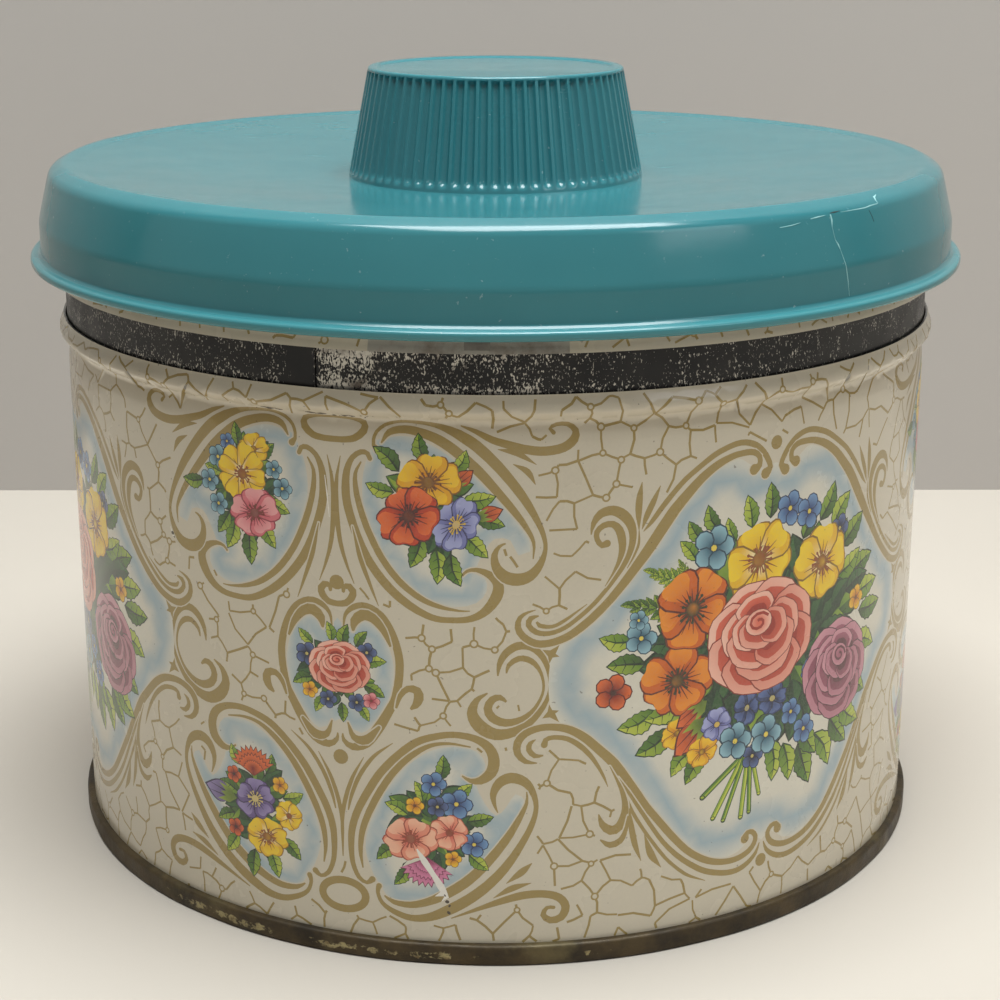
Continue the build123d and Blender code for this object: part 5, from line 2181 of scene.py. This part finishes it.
CRACKS = (
    Crack("cover_crack_pale", PlainFinish("crack_pale", ink("9CCBCC"), ink("6FA9AC"), 0.0, 0.35), (
        ((40.2, 65.4, 97.7, 0.3), (40.3, 65.6, 97.0, 0.35), (40.2, 65.9, 96.2, 0.08)),
        (
            (40.2, 65.9, 96.2, 0.06), (40.4, 66.3, 94.6, 0.08), (40.8, 66.4, 93.9, 0.3),
            (41.0, 66.5, 93.3, 0.12),
        ),
        (
            (41.0, 66.5, 93.3, 0.08), (41.6, 66.9, 91.2, 0.16), (42.1, 67.1, 89.0, 0.2),
            (42.4, 67.1, 87.2, 0.06),
        ),
        (
            (50.6, 64.2, 99.0, 0.1), (49.6, 64.6, 98.8, 0.35), (49.3, 65.0, 98.4, 0.3),
            (49.4, 65.3, 98.0, 0.1),
        ),
        (
            (49.3, 65.3, 98.0, 0.1), (47.6, 65.3, 97.9, 0.2), (46.6, 65.4, 97.8, 0.14),
            (44.2, 65.4, 97.8, 0.12), (42, 65.4, 97.8, 0.05),
        ),
        ((39.4, 65.4, 97.7, 0.05), (38.2, 65.4, 97.6, 0.2), (37, 65.5, 97.5, 0.12)),
        ((35.4, 65.5, 97.2, 0.05), (34, 65.6, 97.0, 0.16), (32.4, 65.6, 96.9, 0.1)),
    )),
    # Dark lines: painted shadow inside the crack, not a colour of the plastic.
    Crack("cover_crack_painted_shadow", PlainFinish("crack_painted_shadow", ink("1C3536"), ink("101F20"), 0.0, 0.6), (
        ((42, 65.35, 98.0, 0.06), (41, 65.35, 97.9, 0.3), (40.2, 65.35, 97.85, 0.1)),
        ((47.2, 65.5, 97.4, 0.1), (47.6, 65.7, 96.6, 0.16), (47.8, 65.9, 95.9, 0.06)),
    )),
)

KEPT_FINISHES = {
    "body_side_seam": PlainFinish("solder", ink("A7A59F"), ink("7E7B74"), 0.9, 0.45),
    "bottom_seam_compound": PlainFinish("seam_compound", ink("3A3632"), ink("24211E"), 0.0, 0.8),
    "cap_side_seam": PlainFinish("cap_solder", ink("77746D"), ink("4A4641"), 0.5, 0.5),
    "cap_end": PlainFinish("bare_tinplate", ink("B4B1AA"), ink("8F8B82"), 1.0, 0.32),
}


def main() -> None:
    """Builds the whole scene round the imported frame."""
    logging.basicConfig(level=logging.INFO, format="%(name)s: %(message)s")
    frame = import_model()
    bpy.context.scene.view_settings.view_transform = "Standard"
    for node, finish in KEPT_FINISHES.items():
        item = frame["nodes"][node]
        item.material_slots[0].material = finish.build()
    Canister().build()
    Lid().build()
    Stage().build()


if __name__ == "__main__":
    main()
